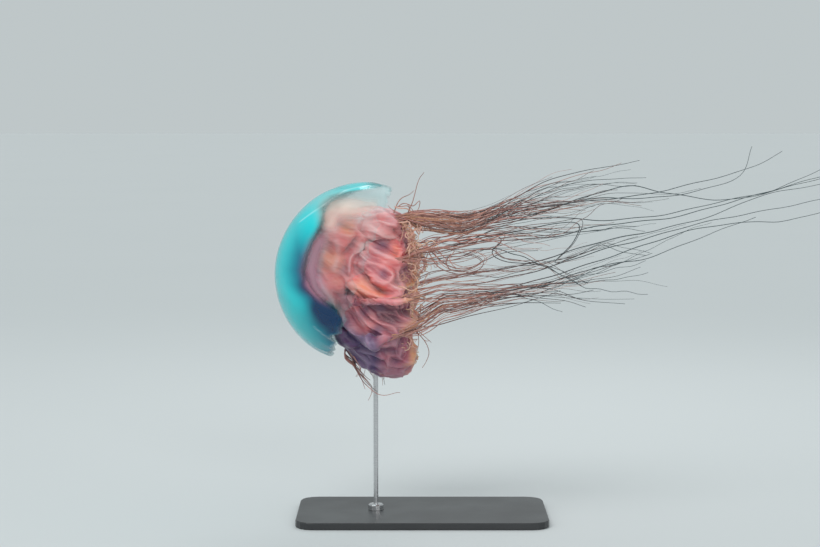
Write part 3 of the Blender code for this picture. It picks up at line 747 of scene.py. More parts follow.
drapeTints = {  # x, z and radius in millimetres and how much of each tint, on the near side
    # the flesh's own salmon and orange; the two spots under the bell at (-49, 36) and (-62, 6) are raised to
    # offset the bell's shade, painted light
    "warm": (
        (-20, 81, 13, 1.25), (-49, 36, 26, 0.4), (4, -16, 18, 1.15), (30, -26, 16, 0.8), (60, 30, 12, 0.8),
        (56, 46, 10, 0.8), (-62, 6, 14, 0.4),
    ),
    # partly the cream rims of the arms, partly painted highlight on the bulges
    "pale": (
        (-27, 112, 16, 0.8), (6, 104, 24, 0.55), (0, 49, 8, 0.9), (64, -10, 16, 0.6), (26, 74, 24, 0.55),
        (0, 90, 20, 0.5), (46, 66, 16, 0.35), (10, -132, 12, 0.35), (-50, 99, 20, 0.35),
        (-38, -96, 14, 0.3), (-31, -52, 7, 0.45), (-26, -66, 7, 0.75), (-23, -78, 7, 0.75),
        (-15, -91, 7, 0.75), (-3, -101, 7, 0.65), (12, -107, 8, 0.5),
    ),
    # the margin's own violet made brighter where the bell shades it, partly painted light
    "violetPaintedLight": (
        (-88, 12, 18, 1.0), (-80, -14, 17, 0.95), (-84, 40, 14, 0.6), (-66, -34, 12, 0.5),
    ),
    # painted shade: indigo in the lower lobe and in the recesses
    "paintedShade": (
        (-36, -86, 20, 0.9), (33, 49, 13, 0.5), (36, 3, 9, 0.45), (-28, 12, 11, 0.35), (-22, -38, 15, 0.38),
        (-10, -68, 18, 0.3), (6, -56, 10, 0.45), (32, -48, 10, 0.4), (26, -88, 10, 0.45),
    ),
}
fleshLook = {
    "mauve": (0.270, 0.074, 0.135),
    "salmon": (0.820, 0.150, 0.145),
    "violetPaintedLight": (0.640, 0.240, 0.460),
    # pale serves the cream rims and fibres and the painted highlight
    "pale": (0.890, 0.500, 0.490),
    "orange": (0.890, 0.285, 0.130),
    "paintedShadeMaroon": (0.095, 0.014, 0.038),
    "paintedShadeIndigo": (0.030, 0.024, 0.115),
    "paintedHighlightLilac": (0.330, 0.225, 0.345),
    "gold": (0.760, 0.400, 0.170),
}


def ovalRing(centre, up, across, halfHeight, halfWidth, count):
    turns = [2 * math.pi * i / count for i in range(count)]
    return [centre + up * halfHeight * math.cos(a) + across * halfWidth * math.sin(a) for a in turns]


def loftInto(bm, rings):
    loops = []
    for ring in rings:
        verts = [bm.verts.new(rimCentre + point) for point in ring]
        loops.append([bm.edges.new((verts[i - 1], verts[i])) for i in range(len(verts))])
    for first, second in zip(loops, loops[1:]):
        bmesh.ops.bridge_loops(bm, edges=first + second)
    for end in (loops[0], loops[-1]):
        bmesh.ops.holes_fill(bm, edges=end, sides=0)


def swelledCopy(node, amount):  # a copy of a CAD node's mesh, made a little larger all over
    bm = bmesh.new()
    bm.from_mesh(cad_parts[node].data)
    bmesh.ops.remove_doubles(bm, verts=bm.verts, dist=1e-5)
    bm.normal_update()
    for vert, normal in [(vert, vert.normal.copy()) for vert in bm.verts]:
        vert.co += normal * amount
    return bm


def largestPart(bm):  # deletes all but the largest connected part
    seen, parts = set(), []
    for first in bm.verts:
        if first in seen:
            continue
        part = [first]
        seen.add(first)
        for vert in part:  # grows while it is read
            for other in (link.other_vert(vert) for link in vert.link_edges):
                if other not in seen:
                    seen.add(other)
                    part.append(other)
        parts.append(part)
    parts.sort(key=len)
    for part in parts[:-1]:
        bmesh.ops.delete(bm, geom=part, context="VERTS")


def smoothed(bm, rounds):
    axes = {f"use_axis_{axis}": True for axis in "xyz"}
    for _ in range(rounds):
        bmesh.ops.smooth_vert(bm, verts=bm.verts, factor=0.5, **axes)


def oneSkin():
    bm = bmesh.new()
    holder = bpy.data.meshes.new("swelled")
    for node in nodesNamed("oral_arm", "gonad", "stomach"):
        copy = swelledCopy(node, drapeShape["swell"])
        copy.to_mesh(holder)
        copy.free()
        bm.from_mesh(holder)
    for kind in clusterShapes:
        for side in (-1, 1):
            rings = []
            for centre, up, across, halfHeight, halfWidth in fineSections(kind, side, 26):
                if centre.x > drapeShape["rootEnd"]:
                    break
                thin = 1.0 - 0.85 * smoothStep((centre.x + 0.020) / (drapeShape["rootEnd"] + 0.020))
                if kind != "upper":  # drawn in a little so that the roots sink into the arms
                    thin *= 0.75
                    centre = centre - Vector((0, centre.y * 0.09 * smoothStep((centre.x + 0.05) / 0.05), 0))
                high, wide = halfHeight * thin, max(0.0035, halfWidth * thin)
                rings.append(ovalRing(centre, up, across, high, wide, 14))
            loftInto(bm, rings)
    for route, halfHeight, halfWidth in drapeShape["fillings"]:
        line = flatCurve(route, 0.01)
        up = (line[-1] - line[0]).cross(Vector((0, 1, 0))).normalized()
        loftInto(bm, [ovalRing(point, up, Vector((0, 1, 0)), halfHeight, halfWidth, 20) for point in line])
    bmesh.ops.triangulate(bm, faces=[face for face in bm.faces if len(face.verts) > 4])
    solid = linked("flesh", meshFrom(bm, "flesh"))
    remesh = solid.modifiers.new("Skin", "REMESH")
    remesh.mode = "VOXEL"
    remesh.voxel_size = drapeShape["voxel"]
    bpy.context.view_layer.update()
    skin = bpy.data.meshes.new_from_object(solid.evaluated_get(bpy.context.evaluated_depsgraph_get()))
    bpy.data.objects.remove(solid)
    bm = bmesh.new()
    bm.from_mesh(skin)
    largestPart(bm)
    smoothed(bm, 14)
    bmesh.ops.subdivide_edges(bm, edges=bm.edges, cuts=1, use_grid_fill=True)
    smoothed(bm, 3)
    return toMesh(bm, "oralDrape")


def awayFrom(route, places):  # distance of each (x, z) place from a route
    line = np.array([(point.x, point.z) for point in flatCurve(route, 0.004)])
    best = np.full(len(places), 9.0)  # farther than any place
    for start, end in zip(line, line[1:]):
        along = end - start
        share = np.clip(((places - start) @ along) / (along @ along), 0.0, 1.0)
        best = np.minimum(best, np.linalg.norm(places - start - share[:, None] * along, axis=1))
    return best


def foldPattern(points):  # sharp ridges from 0 to 1 in four sizes, all fanning out from the pole, and a crimp
    poleX, poleZ = drapeShape["pole"]
    rows = []
    for x, y, z in points:
        spot = Vector((x, y, z))
        fan = math.atan2(z - poleZ, x - poleX) * drapeShape["reach"]
        out = math.hypot(z - poleZ, x - poleX)
        fan += 0.0065 * noise.noise(spot * 17.0) + 0.0024 * noise.noise(spot * 43.0)
        through = y + 0.006 * noise.noise(spot * 19.0 + Vector((5, 5, 5)))
        row = []
        for number, (across, deep, along, _) in enumerate(drapeShape["folds"]):
            place = Vector((across * fan, deep * through, along * out)) + Vector((7, 3, 11)) * number
            height = abs(noise.noise(place))
            row.append(min(1.0, height * 2.6) if number == 0 else max(0.0, 1.0 - height * 3.0))
        row.append(noise.noise(Vector((60 * fan, 60 * through, 45 * out))))
        rows.append(row)
    return np.array(rows)


def makeFleshMaterial():
    desk = NodeDesk("oral flesh")
    fold, paintedShade = desk.attribute("fold"), desk.attribute("paintedShade")
    lean = desk.objectPlace(turn=(0, 30, 0), size=(10.0, 62.0, 62.0))
    streak = desk.ramp(desk.cloud(1.0, 5.0, lean, 0.6), 0.30, 0.72)
    fineLean = desk.objectPlace(turn=(0, 26, 0), size=(30.0, 260.0, 260.0))
    thread = desk.ramp(desk.cloud(1.0, 3.0, fineLean, 0.55), 0.35, 0.68)
    cloud = desk.ramp(desk.cloud(34.0, 4.0), 0.32, 0.70)
    warmth = desk.plus(desk.attribute("warm"), desk.times(desk.minus(cloud, 0.5), 0.5))
    # painted highlight: paler on the raised folds and along the crests, and where the pale tints lie
    paintedHighlight = desk.plus(desk.ramp(fold, 0.55, 1.0, 0.0, 0.30), desk.times(desk.attribute("paintedCrestHighlight"), 0.60))
    paintedHighlight = desk.times(paintedHighlight, desk.ramp(streak, 0.0, 1.0, 0.60, 1.0))
    paintedHighlight = desk.plus(paintedHighlight, desk.times(desk.attribute("pale"), 0.75))
    fringe = desk.times(desk.attribute("fringe"), desk.ramp(cloud, 0.0, 1.0, 0.35, 0.95))
    colour = desk.layers(
        fleshLook["mauve"],
        (desk.ramp(warmth, 0.0, 0.75), fleshLook["salmon"]),
        (desk.ramp(warmth, 0.85, 1.7), fleshLook["orange"]),
        # painted shade: maroon in the fold valleys
        (desk.ramp(fold, 0.56, 0.14, 0.0, 0.90), fleshLook["paintedShadeMaroon"]),
        # painted highlight over the raised folds and crests
        (desk.ramp(paintedHighlight, 0.0, 1.0), fleshLook["pale"]),
        (desk.times(thread, 0.16), fleshLook["pale"]),
        # partly the margin's own violet, partly painted light over the shade the bell casts
        (desk.ramp(desk.attribute("violetPaintedLight"), 0.0, 1.0, 0.0, 0.80), fleshLook["violetPaintedLight"]),
        # painted shade: indigo low down and in the recesses, with a painted lilac highlight on its raised
        # parts
        (desk.ramp(paintedShade, 0.0, 0.8, 0.0, 0.92), fleshLook["paintedShadeIndigo"]),
        (desk.times(paintedShade, desk.ramp(paintedHighlight, 0.20, 0.90, 0.0, 0.75)), fleshLook["paintedHighlightLilac"]),
        (fringe, fleshLook["gold"]),
    )
    desk.set({
        "Base Color": colour,
        "Roughness": desk.ramp(streak, 0.0, 1.0, 0.34, 0.52),
        "Subsurface Weight": 0.60,
        "Subsurface Radius": (0.022, 0.010, 0.010),
        "Subsurface Scale": 1.0,
        "Sheen Weight": 0.18,
        "Sheen Roughness": 0.40,
        "Coat Weight": 0.20,
        "Coat Roughness": 0.22,
    })
    desk.bump(desk.plus(desk.times(streak, 0.7), desk.times(thread, 0.5)), 0.55, 0.0022)
    return desk.material


def makeDrape():
    mesh = oneSkin()
    points, normals = readVectors(mesh, "co") - np.array(rimCentre), readVectors(mesh, "normal")
    x, y, z = points.T
    big, middle, small, fine, crimp = foldPattern(points).T
    calm = smoothSteps((x + 0.040) / 0.05)  # 0 where the flesh lies smooth inside the bell
    free = smoothSteps((x - 0.045) / 0.04)  # 1 at the free edge of the arms
    heights = [fold[3] for fold in drapeShape["folds"]]
    push = heights[0] * (0.65 + 0.35 * calm) * (big - 0.55)
    push += heights[1] * (0.30 + 0.70 * calm) * (middle - 0.35)
    push += heights[2] * (0.15 + 0.85 * calm) * (small - 0.4) + heights[3] * (0.2 + 0.8 * calm) * (fine - 0.4)
    push += 0.0008 * crimp
    near, far = smoothSteps((-y - 0.005) / 0.035), smoothSteps((y - 0.005) / 0.035)
    places = points[:, [0, 2]]
    sides = ((near, places), (far, places + np.array(drapeShape["farShift"])))

    def bumps(place, radius):  # a round spot on each side
        for share, spots in sides:
            yield np.exp(-(np.linalg.norm(spots - place, axis=1) / radius) ** 2) * share

    own, quiet, line = np.zeros(len(points)), np.zeros(len(points)), np.zeros(len(points))
    for route, width, height in drapeFolds:
        for share, spots in sides:
            bell = np.exp(-((awayFrom(route, spots) / width) ** 2)) * share
            own += height * bell
            quiet = np.maximum(quiet, bell)
            line = np.maximum(line, bell**3 * (height > 0))
    for *place, radius, height in drapeMounds:
        for bell in bumps(place, radius):
            own += height * bell
    push = push * (1 - 0.55 * quiet) + own
    moved = points + normals * push[:, None]
    moved[:, 0] += 0.010 * free * smoothSteps((normals[:, 0] - 0.2) / 0.5) * (middle - 0.45 + 0.6 * crimp)
    mesh.vertices.foreach_set("co", np.asarray(moved + np.array(rimCentre), np.float32).ravel())
    mesh.update()

    # painted highlight along the sharp ridges and the raised folds
    paintedCrestHighlight = (0.75 * middle**3 + 0.70 * small**3 + 0.40 * fine**3) * (0.25 + 0.75 * calm) * (1 - quiet)
    broad = np.array([noise.noise(Vector(point) * 22.0) for point in points])
    # painted light: the flesh under the bell is made warmer to offset the shade that the bell casts on it
    inside = smoothSteps((0.010 - x) / 0.04)
    warm = 0.50 + 0.45 * broad - 0.22 * smoothSteps((x - 0.01) / 0.06) + 0.22 * inside
    # painted shade: darker indigo towards the bottom, less to the right
    low = 0.95 * smoothSteps((-0.078 - z) / 0.034) * (1 - 0.62 * smoothSteps((x - 0.012) / 0.030))
    shares = {
        "fold": np.clip(0.5 + push / 0.022, 0.0, 1.0),
        "paintedCrestHighlight": np.clip(paintedCrestHighlight + 0.75 * line, 0.0, 1.0),
        "warm": np.clip(warm, 0.0, 1.2),
        "pale": np.zeros(len(points)),
        "paintedShade": low,
        "fringe": smoothSteps((x - 0.060) / 0.022) * smoothSteps((middle - 0.25) / 0.5),
        "violetPaintedLight": np.zeros(len(points)),
    }
    for tint, spots in drapeTints.items():
        for *place, amount in spots:
            acrossX, upZ, radius = metres(tuple(place))
            for bell in bumps((acrossX, upZ), radius):
                shares[tint] += amount * bell
    for name in ("paintedShade", "violetPaintedLight"):
        shares[name] = np.clip(shares[name], 0, 1)
    for name, values in shares.items():
        paint(mesh, name, values)
    replaced = nodesNamed("oral_arm", "gonad", "stomach")
    return addPiece("oralDrape", mesh, makeFleshMaterial(), replaced)


def fleshTree(piece):
    corners = [vert.co for vert in piece.data.vertices]
    return BVHTree.FromPolygons(corners, [face.vertices for face in piece.data.polygons])


# Strands

strandShape = {
    "start": 0.0011,
    "end": 0.0004,
    "thin": 0.00080,
    "thinEnd": 0.00028,
    "step": 0.009,
    "counts": {"upper": 44, "middle": 10, "lower": 10, "bottom": 17},
    "ends": {"upper": 1.3, "middle": 1.4, "lower": 1.4, "bottom": 1.8},  # higher lets more strands end early
    "firsts": {"upper": (2, 3, 4, 5), "middle": (5, 6, 7, 8), "lower": (4, 5, 6, 7), "bottom": (4, 5, 6, 7)},
    "fan": ((0.25, 0.430), (0.55, 0.470), (0.85, 0.330)),
    "reach": (0.19, 0.22, 0.17),  # the shortest, what chance adds, and what every eighth one has more
    "bed": (-0.0030, -0.0008, 0.0003),  # height of the first points over the flesh
    "twin": (0.006, 0.003, 0.005),  # how far from each loose strand its thinner twin lies
}
strandLook = {
    "pink": (0.52, 0.22, 0.19),
    "flesh": (0.42, 0.215, 0.170),
    "russet": (0.230, 0.105, 0.085),
    "brown": (0.062, 0.030, 0.030),
    "ink": (0.008, 0.030, 0.037),
    "gold": (0.66, 0.37, 0.16),
    "cream": (0.86, 0.58, 0.42),
    "bands": (  # where along a strand each darker colour comes in
        (0.10, 0.30, "flesh"), (0.30, 0.50, "russet"), (0.42, 0.60, "brown"), (0.50, 0.76, "ink"),
    ),
}


def makeStrandMaterial(name, warmth, cream=0.0):
    desk = NodeDesk(name)
    along, shade = desk.attribute("along"), desk.attribute("shade")
    fleck = desk.ramp(desk.cloud(160.0, 2.0), 0.35, 0.7)
    reach = desk.plus(along, desk.times(desk.minus(shade, 0.5), -0.62))
    reach = desk.plus(reach, desk.times(desk.minus(fleck, 0.5), 0.10))
    bands = [
        (desk.ramp(reach, low + warmth, high + warmth), strandLook[tint])
        for low, high, tint in strandLook["bands"]
    ]
    golden = desk.times(desk.ramp(shade, 0.78, 0.96), desk.ramp(along, 0.10, 0.42, 0.8, 0.0))
    colour = desk.layers(
        strandLook["pink"],
        *bands,
        (golden, strandLook["gold"]),
        (desk.ramp(shade, 0.25, 0.85, 0.0, cream), strandLook["cream"]),
    )
    desk.set({
        "Base Color": colour,
        "Roughness": desk.ramp(fleck, 0.0, 1.0, 0.26, 0.48),
        "Sheen Weight": 0.10,
        "Coat Weight": 0.2,
        "Coat Roughness": 0.15,
    })
    desk.bump(fleck, 0.3, 0.0004)
    return desk.material


def strandsMesh(name, strands):  # strands are (points, start radius, end radius, shade)
    bm = bmesh.new()
    alongLayer = bm.verts.layers.float.new("along")
    shadeLayer = bm.verts.layers.float.new("shade")
    strips = bm.loops.layers.uv.new("OFBake")
    for number, (points, startRadius, endRadius, shade) in enumerate(strands):
        curve = bpy.data.curves.new("strand", "CURVE")
        curve.dimensions = "3D"
        curve.bevel_depth = 1.0
        curve.bevel_resolution = 1
        curve.use_fill_caps = True
        spline = curve.splines.new("POLY")
        spline.points.add(len(points) - 1)
        radii = np.linspace(startRadius, endRadius, len(points))
        for knot, place, radius in zip(spline.points, points, radii):
            knot.co = (*(rimCentre + Vector(place)), 1.0)
            knot.radius = radius
        guide = bpy.data.objects.new("strand", curve)
        tube = guide.to_mesh()
        firstVert, firstFace = len(bm.verts), len(bm.faces)
        bm.from_mesh(tube)
        guide.to_mesh_clear()
        bpy.data.objects.remove(guide)
        bpy.data.curves.remove(curve)
        bm.verts.ensure_lookup_table()
        bm.faces.ensure_lookup_table()
        own = bm.loops.layers.uv.get("UVMap")
        for vert in bm.verts[firstVert:]:
            vert[alongLayer] = min(1.0, max(0.0, (vert.co.x - rimCentre.x + 0.02) / 0.62))
            vert[shadeLayer] = shade
        for face in bm.faces[firstFace:]:
            for loop in face.loops:
                across, down = loop[own].uv
                loop[strips].uv = ((number + 0.1 + 0.8 * down) / len(strands), 0.02 + 0.96 * across)
    bmesh.ops.remove_doubles(bm, verts=bm.verts, dist=2e-6)
    bm.loops.layers.uv.remove(bm.loops.layers.uv.get("UVMap"))
    return toMesh(bm, name)


def wriggle(line, size, pitch, phase):  # small side to side waves that grow from nothing
    done, reach = [], 0.0
    for number, point in enumerate(line):
        reach += (point - line[max(0, number - 1)]).length
        grown = size * smoothStep(reach / 0.05)
        done.append(point + Vector((
            0.0,
            grown * math.sin(pitch * reach * 0.83 + phase * 1.7),
            grown * math.sin(pitch * reach + phase),
        )))
    return done


def hugFlesh(points, flesh):  # beds the first points in the flesh and lets the rest lift off it slowly
    done = []
    for number, point in enumerate(points):
        held = smoothStep((0.098 - point.x) / 0.040)
        if held > 0:
            spot, normal, _, _ = flesh.find_nearest(rimCentre + point)
            bed = spot - rimCentre + normal * strandShape["bed"][min(number, 2)]
            outside = (rimCentre + point - spot).dot(normal) > 0
            if outside or number < 3:
                point = point.lerp(bed, held if number else 1.0)
        done.append(point)
    return done


def nearLength(kind, side, dice):  # from inside the flesh to the end of the near length, ever more spread out
    first = dice.choice(strandShape["firsts"][kind])
    turn, out = dice.uniform(0, 2 * math.pi), math.sqrt(dice.uniform(0.05, 1.0))
    sections = fineSections(kind, side, 16)
    points = []
    for number, (centre, up, across, halfHeight, halfWidth) in enumerate(sections[first:], first):
        start, more = (0.75, 0.45) if kind == "upper" else (0.30, 1.60)
        wide = out * (start + more * smoothStep((number - first) / 9))
        point = centre + up * halfHeight * wide * math.cos(turn) + across * halfWidth * wide * math.sin(turn)
        if kind != "upper":  # drawn in a little on the way past the arms
            point.y *= 1.0 - 0.15 * smoothStep((point.x + 0.01) / 0.03) * smoothStep((0.130 - point.x) / 0.05)
        points.append(point)
        turn += dice.gauss(0, 0.10)
    return points


def ownRoute(kind, side, begin, share, end, dice):  # from the end of the near length out to x = end
    guides = [np.array(guideHeights(kind, side, which)) for which in (0, 1)]
    startX = guides[0][0, 0] - 0.012
    wide = max(0.004, guides[0][0, 1] - guides[1][0, 1])
    startShare = (guides[0][0, 1] - begin.z) / wide
    spreadOut = begin.y - laneY(kind, side, startX, 0.0)
    settle = dice.uniform(0.10, 0.26)
    phase, pitch, size = dice.uniform(0, 6.28), dice.uniform(10, 38), dice.uniform(0.0015, 0.0095)
    sidePhase, sidePitch, drift = dice.uniform(0, 6.28), dice.uniform(8, 20), dice.uniform(-0.9, 0.9)
    count = max(2, round((end - startX) / 0.035))
    points = []
    for x in np.linspace(startX, end, count + 1)[1:]:
        upper, lower = (np.interp(x, guide[:, 0], guide[:, 1]) for guide in guides)
        thick = max(0.012, upper - lower)
        eased = smoothStep((x - startX) / settle)
        grown = smoothStep((x - startX) / 0.12)
        place = share + drift * (x - startX) / 0.4
        z = (1 - eased) * (upper - startShare * wide) + eased * (upper - place * thick)
        z += size * grown * math.sin(pitch * x + phase)
        y = laneY(kind, side, x, 0.0) + (1 - eased) * spreadOut
        y += 0.014 * grown * math.sin(sidePitch * x + sidePhase)
        points.append((x, y, z))
    return points


def makeCluster(kind, side, look, flesh):
    name = sideName(side)
    dice = random.Random(f"{kind} {name}")
    thick, thin = (strandShape["start"], strandShape["end"]), (strandShape["thin"], strandShape["thinEnd"])
    made = []
    for which in (0, 1):  # the two strands that the rest of the fan lies between
        route = [(x, laneY(kind, side, x, (0.6, -0.6)[which]), z) for x, z in guideHeights(kind, side, which)]
        root = []
        for centre, _, _, halfHeight, halfWidth in fineSections(kind, side, 12)[7:]:
            high = halfWidth if kind == "upper" else halfHeight
            root.append(centre + Vector((0, 0, (0.45, -0.45)[which] * high)))
        line = curveThrough([*root, *drifted(route)], strandShape["step"])
        made.append((wriggle(line, 0.0008, 70, which * 2.0), *thick, 0.35))
    shortest, chance, bonus = strandShape["reach"]
    ends = [(share, end, 1.25) for share, end in strandShape["fan"]]
    for number in range(strandShape["counts"][kind]):
        end = shortest + chance * dice.random() ** strandShape["ends"][kind]
        longer = bonus if number % 8 == 0 else 0.0
        ends.append((dice.uniform(-0.15, 1.15), end + longer, dice.uniform(0.55, 1.20)))
    for share, end, scale in ends:
        root = hugFlesh(nearLength(kind, side, dice), flesh)
        route = ownRoute(kind, side, root[-1], share, end, dice)
        line = curveThrough([*root, *drifted(route)], strandShape["step"])
        line = wriggle(line, dice.uniform(0.0004, 0.0018), dice.uniform(60, 150), dice.uniform(0, 6.28))
        made.append((line, thin[0] * scale, thin[1] * scale, dice.random()))
    alongX, acrossY, upZ = strandShape["twin"]
    for route in looseRoutes.get((kind, name), ()):
        made.append((curveThrough(drifted(route), 0.005), *thick, 0.2))
        twin = [(x + alongX, y + acrossY * side, z + upZ) for x, y, z in route]
        made.append((wriggle(curveThrough(drifted(twin), 0.005), 0.002, 60, 1.0), 0.0007, 0.0003, 0.5))
    for number, route in enumerate(sideRoutes.get((kind, name), ())):
        line = curveThrough(drifted(route), 0.003)
        if kind == "upper":
            line = wriggle(line, 0.0040, 95.0, 2.4 * number)
        made.append((line, *thick, 0.15))
    title = "tentacles" + kind.title() + name.title()
    replaced = nodesNamed(f"tentacles_{kind}_{name}_")
    return addPiece(title, strandsMesh(title, made), look, replaced)


bunchShape = {
    "routes": metres((
        ((-14, 3, -160), (4, 9, -183), (15, 11, -200), (9, 10, -217)),
        ((-14, -3, -160), (4, -9, -186), (26, -12, -204), (63, -13, -202)),
        ((-14, 0, -158), (-2, -2, -178), (4, -3, -196)),
    )),
    "core": metres(((-30, -143), (-12, -160))),  # what the routes start from
    "top": metres((-24, 0, -118)),
    "hem": metres(((-36, -118), (-24, -136), (-6, -150), (14, -158), (34, -160))),
    "spread": metres(((-10, 14), (-12, 12), (-4, 8))),  # along, across and up
    "extra": 20,
    "hanging": 46,
}


def makeBunch(look):
    dice = random.Random("bunch")
    core = [Vector((x, 0.0, z)) for x, z in bunchShape["core"]]
    made = []
    for number in range(len(bunchShape["routes"]) + bunchShape["extra"]):
        route = bunchShape["routes"][number % 3]
        shift = Vector([dice.uniform(*span) for span in bunchShape["spread"]])
        share, radius = dice.uniform(0.35, 0.95), 0.0008
        if number < 3:  # the three that follow their routes to the end
            shift, share, radius = Vector((0, 0, 0)), 1.0, 0.0011
        start = [Vector(bunchShape["top"])]
        for point in core:
            start.append(point + Vector((0, dice.uniform(-0.010, 0.010), dice.uniform(-0.002, 0.008))))
        places = [Vector(place) + shift * (0.3 + 0.35 * step) for step, place in enumerate(route)]
        line = curveThrough([*start, *places], 0.005)
        line = line[: max(8, round(len(line) * share))]
        line = wriggle(line, dice.uniform(0.0005, 0.0016), dice.uniform(70, 150), dice.uniform(0, 6.28))
        made.append((line, radius, 0.0004, dice.random() * 0.8))
    hem = flatCurve(bunchShape["hem"], 0.002)
    steps = 9
    for _ in range(bunchShape["hanging"]):  # short threads from the lowest lobes, swept back and down
        along = dice.random()
        start = hem[int(along * (len(hem) - 1))] + Vector((0.0, dice.uniform(-0.040, 0.040), 0.008))
        length, drop = dice.uniform(0.020, 0.052), dice.uniform(0.45, 1.15)
        heading = Vector((1.0 - 0.4 * along, dice.uniform(-0.25, 0.25), -drop)).normalized()
        curl, places = dice.uniform(-26, 40), [start]
        for _ in range(steps):
            heading = Matrix.Rotation(curl * length / steps, 3, "Y") @ heading
            places.append(places[-1] + heading * length / steps)
        line = curveThrough(places, 0.004)
        line = wriggle(line, dice.uniform(0.0006, 0.0022), dice.uniform(90, 190), dice.uniform(0, 6.28))
        made.append((line, dice.uniform(0.0006, 0.0009), 0.0003, dice.random() * 0.7))
    mesh = strandsMesh("tentaclesBunch", made)
    return addPiece("tentaclesBunch", mesh, look, ("tentacles_bunch",))


tangleShape = {
    "count": 84,
    "step": 0.0026,
    "homes": (  # centre and reach in millimetres of each knot of curly threads, and its part of the threads
        ((66, -36, 98), (22, 22, 16), 4), ((80, -50, 74), (20, 20, 18), 6),
        ((94, -56, 46), (20, 18, 20), 7), ((100, -60, 20), (22, 14, 14), 6),
        ((117, -66, 46), (20, 16, 20), 7), ((115, -66, 26), (20, 14, 16), 5),
        ((84, -62, -6), (20, 16, 14), 4), ((84, -60, -40), (14, 20, 24), 3),
        ((78, -50, -78), (14, 20, 24), 3), ((74, -36, -118), (14, 24, 22), 5),
        ((50, -30, -146), (22, 22, 12), 3), ((88, 50, 40), (18, 24, 30), 6),
        ((84, 44, -10), (16, 26, 30), 4), ((78, 34, -80), (14, 26, 36), 5),
        ((86, 0, 0), (14, 40, 50), 5), ((78, 0, -110), (14, 30, 36), 4),
    ),
}


def curlRoute(start, heading, home, reach, dice, count):
    place, line, step = Vector(start), [Vector(start)], tangleShape["step"]
    spin = Vector([dice.gauss(0, 1) for _ in range(3)]).normalized() * dice.uniform(60, 210)
    heading = heading.normalized()
    for _ in range(count):
        heading = Matrix.Rotation(spin.length * step, 3, spin.normalized()) @ heading
        back = Vector([(centre - spot) / size for centre, spot, size in zip(home, place, reach)])
        heading = (heading + back * 0.06).normalized()  # and back towards its home
        spin = (spin + Vector([dice.gauss(0, 16) for _ in range(3)])) * 0.99
        place = place + heading * step
        line.append(place)
    return line


def makeTangle(look):
    dice = random.Random("tangle")
    pool = [metres(home[:2]) for home in tangleShape["homes"] for _ in range(home[2])]
    made = []
    for number in range(tangleShape["count"]):
        home, reach = pool[number % len(pool)]
        start = Vector(home) + Vector([dice.uniform(-1, 1) * size for size in reach])
        start.x = min(start.x, 0.084) - 0.008
        heading = Vector((1.0, dice.uniform(-1, 1), dice.uniform(-1, 1)))
        line = curlRoute(start, heading, home, reach, dice, dice.randrange(16, 48))
        made.append((line, dice.uniform(0.0008, 0.0014), 0.0004, dice.random() ** 0.6))
    return addPiece("oralTangle", strandsMesh("oralTangle", made), look)


frillShape = {
    "routes": (  # in millimetres where each ribbon is held and its depth, and how many waves it has
        (((70, -34, 66), (86, -12, 52), (86, 12, 40), (80, 34, 38)), 12, 9),
        (((78, -52, 50), (92, -62, 36), (102, -58, 16), (88, -48, -2)), 14, 10),
        (((78, 48, 16), (90, 56, -4), (86, 50, -30), (76, 34, -44)), 13, 9),
        (((76, -30, -108), (86, -12, -126), (86, 10, -150), (62, 22, -166)), 12, 10),
        (((74, -58, -20), (80, -60, -50), (78, -56, -80), (78, -44, -104)), 10, 11),
        (((76, 52, -60), (78, 48, -86), (72, 40, -112), (60, 36, -136)), 11, 10),
        (((70, 60, 60), (78, 56, 44), (80, 54, 28), (78, 50, 16)), 10, 7),
    ),
    "wall": 0.0006,
    "ruffle": 0.0030,
    "depth": 0.48,  # share of the depths above
    "middle": (0.03, 0.0, -0.04),  # what the ribbons stand away from
}
frillLook = {"root": (0.66, 0.34, 0.31), "edge": (0.88, 0.60, 0.34), "pale": (0.93, 0.76, 0.64)}


def makeFrillMaterial():
    desk = NodeDesk("frilled edge")
    edge = desk.attribute("edge")
    speck = desk.ramp(desk.cloud(120.0, 4.0), 0.35, 0.70)
    holes = desk.ramp(desk.cloud(330.0, 2.0), 0.42, 0.56, 0.15, 1.0)
    lace = desk.most(holes, desk.ramp(edge, 0.5, 0.1))
    desk.set({
        "Base Color": desk.layers(
            frillLook["root"],
            (desk.ramp(edge, 0.35, 1.0), frillLook["edge"]),
            (desk.times(speck, 0.45), frillLook["pale"]),
        ),
        "Alpha": desk.times(desk.ramp(edge, 0.2, 1.0, 0.95, 0.75), lace),
        "Roughness": desk.ramp(speck, 0.0, 1.0, 0.32, 0.5),
        "Subsurface Weight": 0.2,
        "Subsurface Radius": (0.006, 0.003, 0.002),
        "Sheen Weight": 0.3,
    })
    desk.bump(speck, 0.4, 0.0008)
    return desk.material


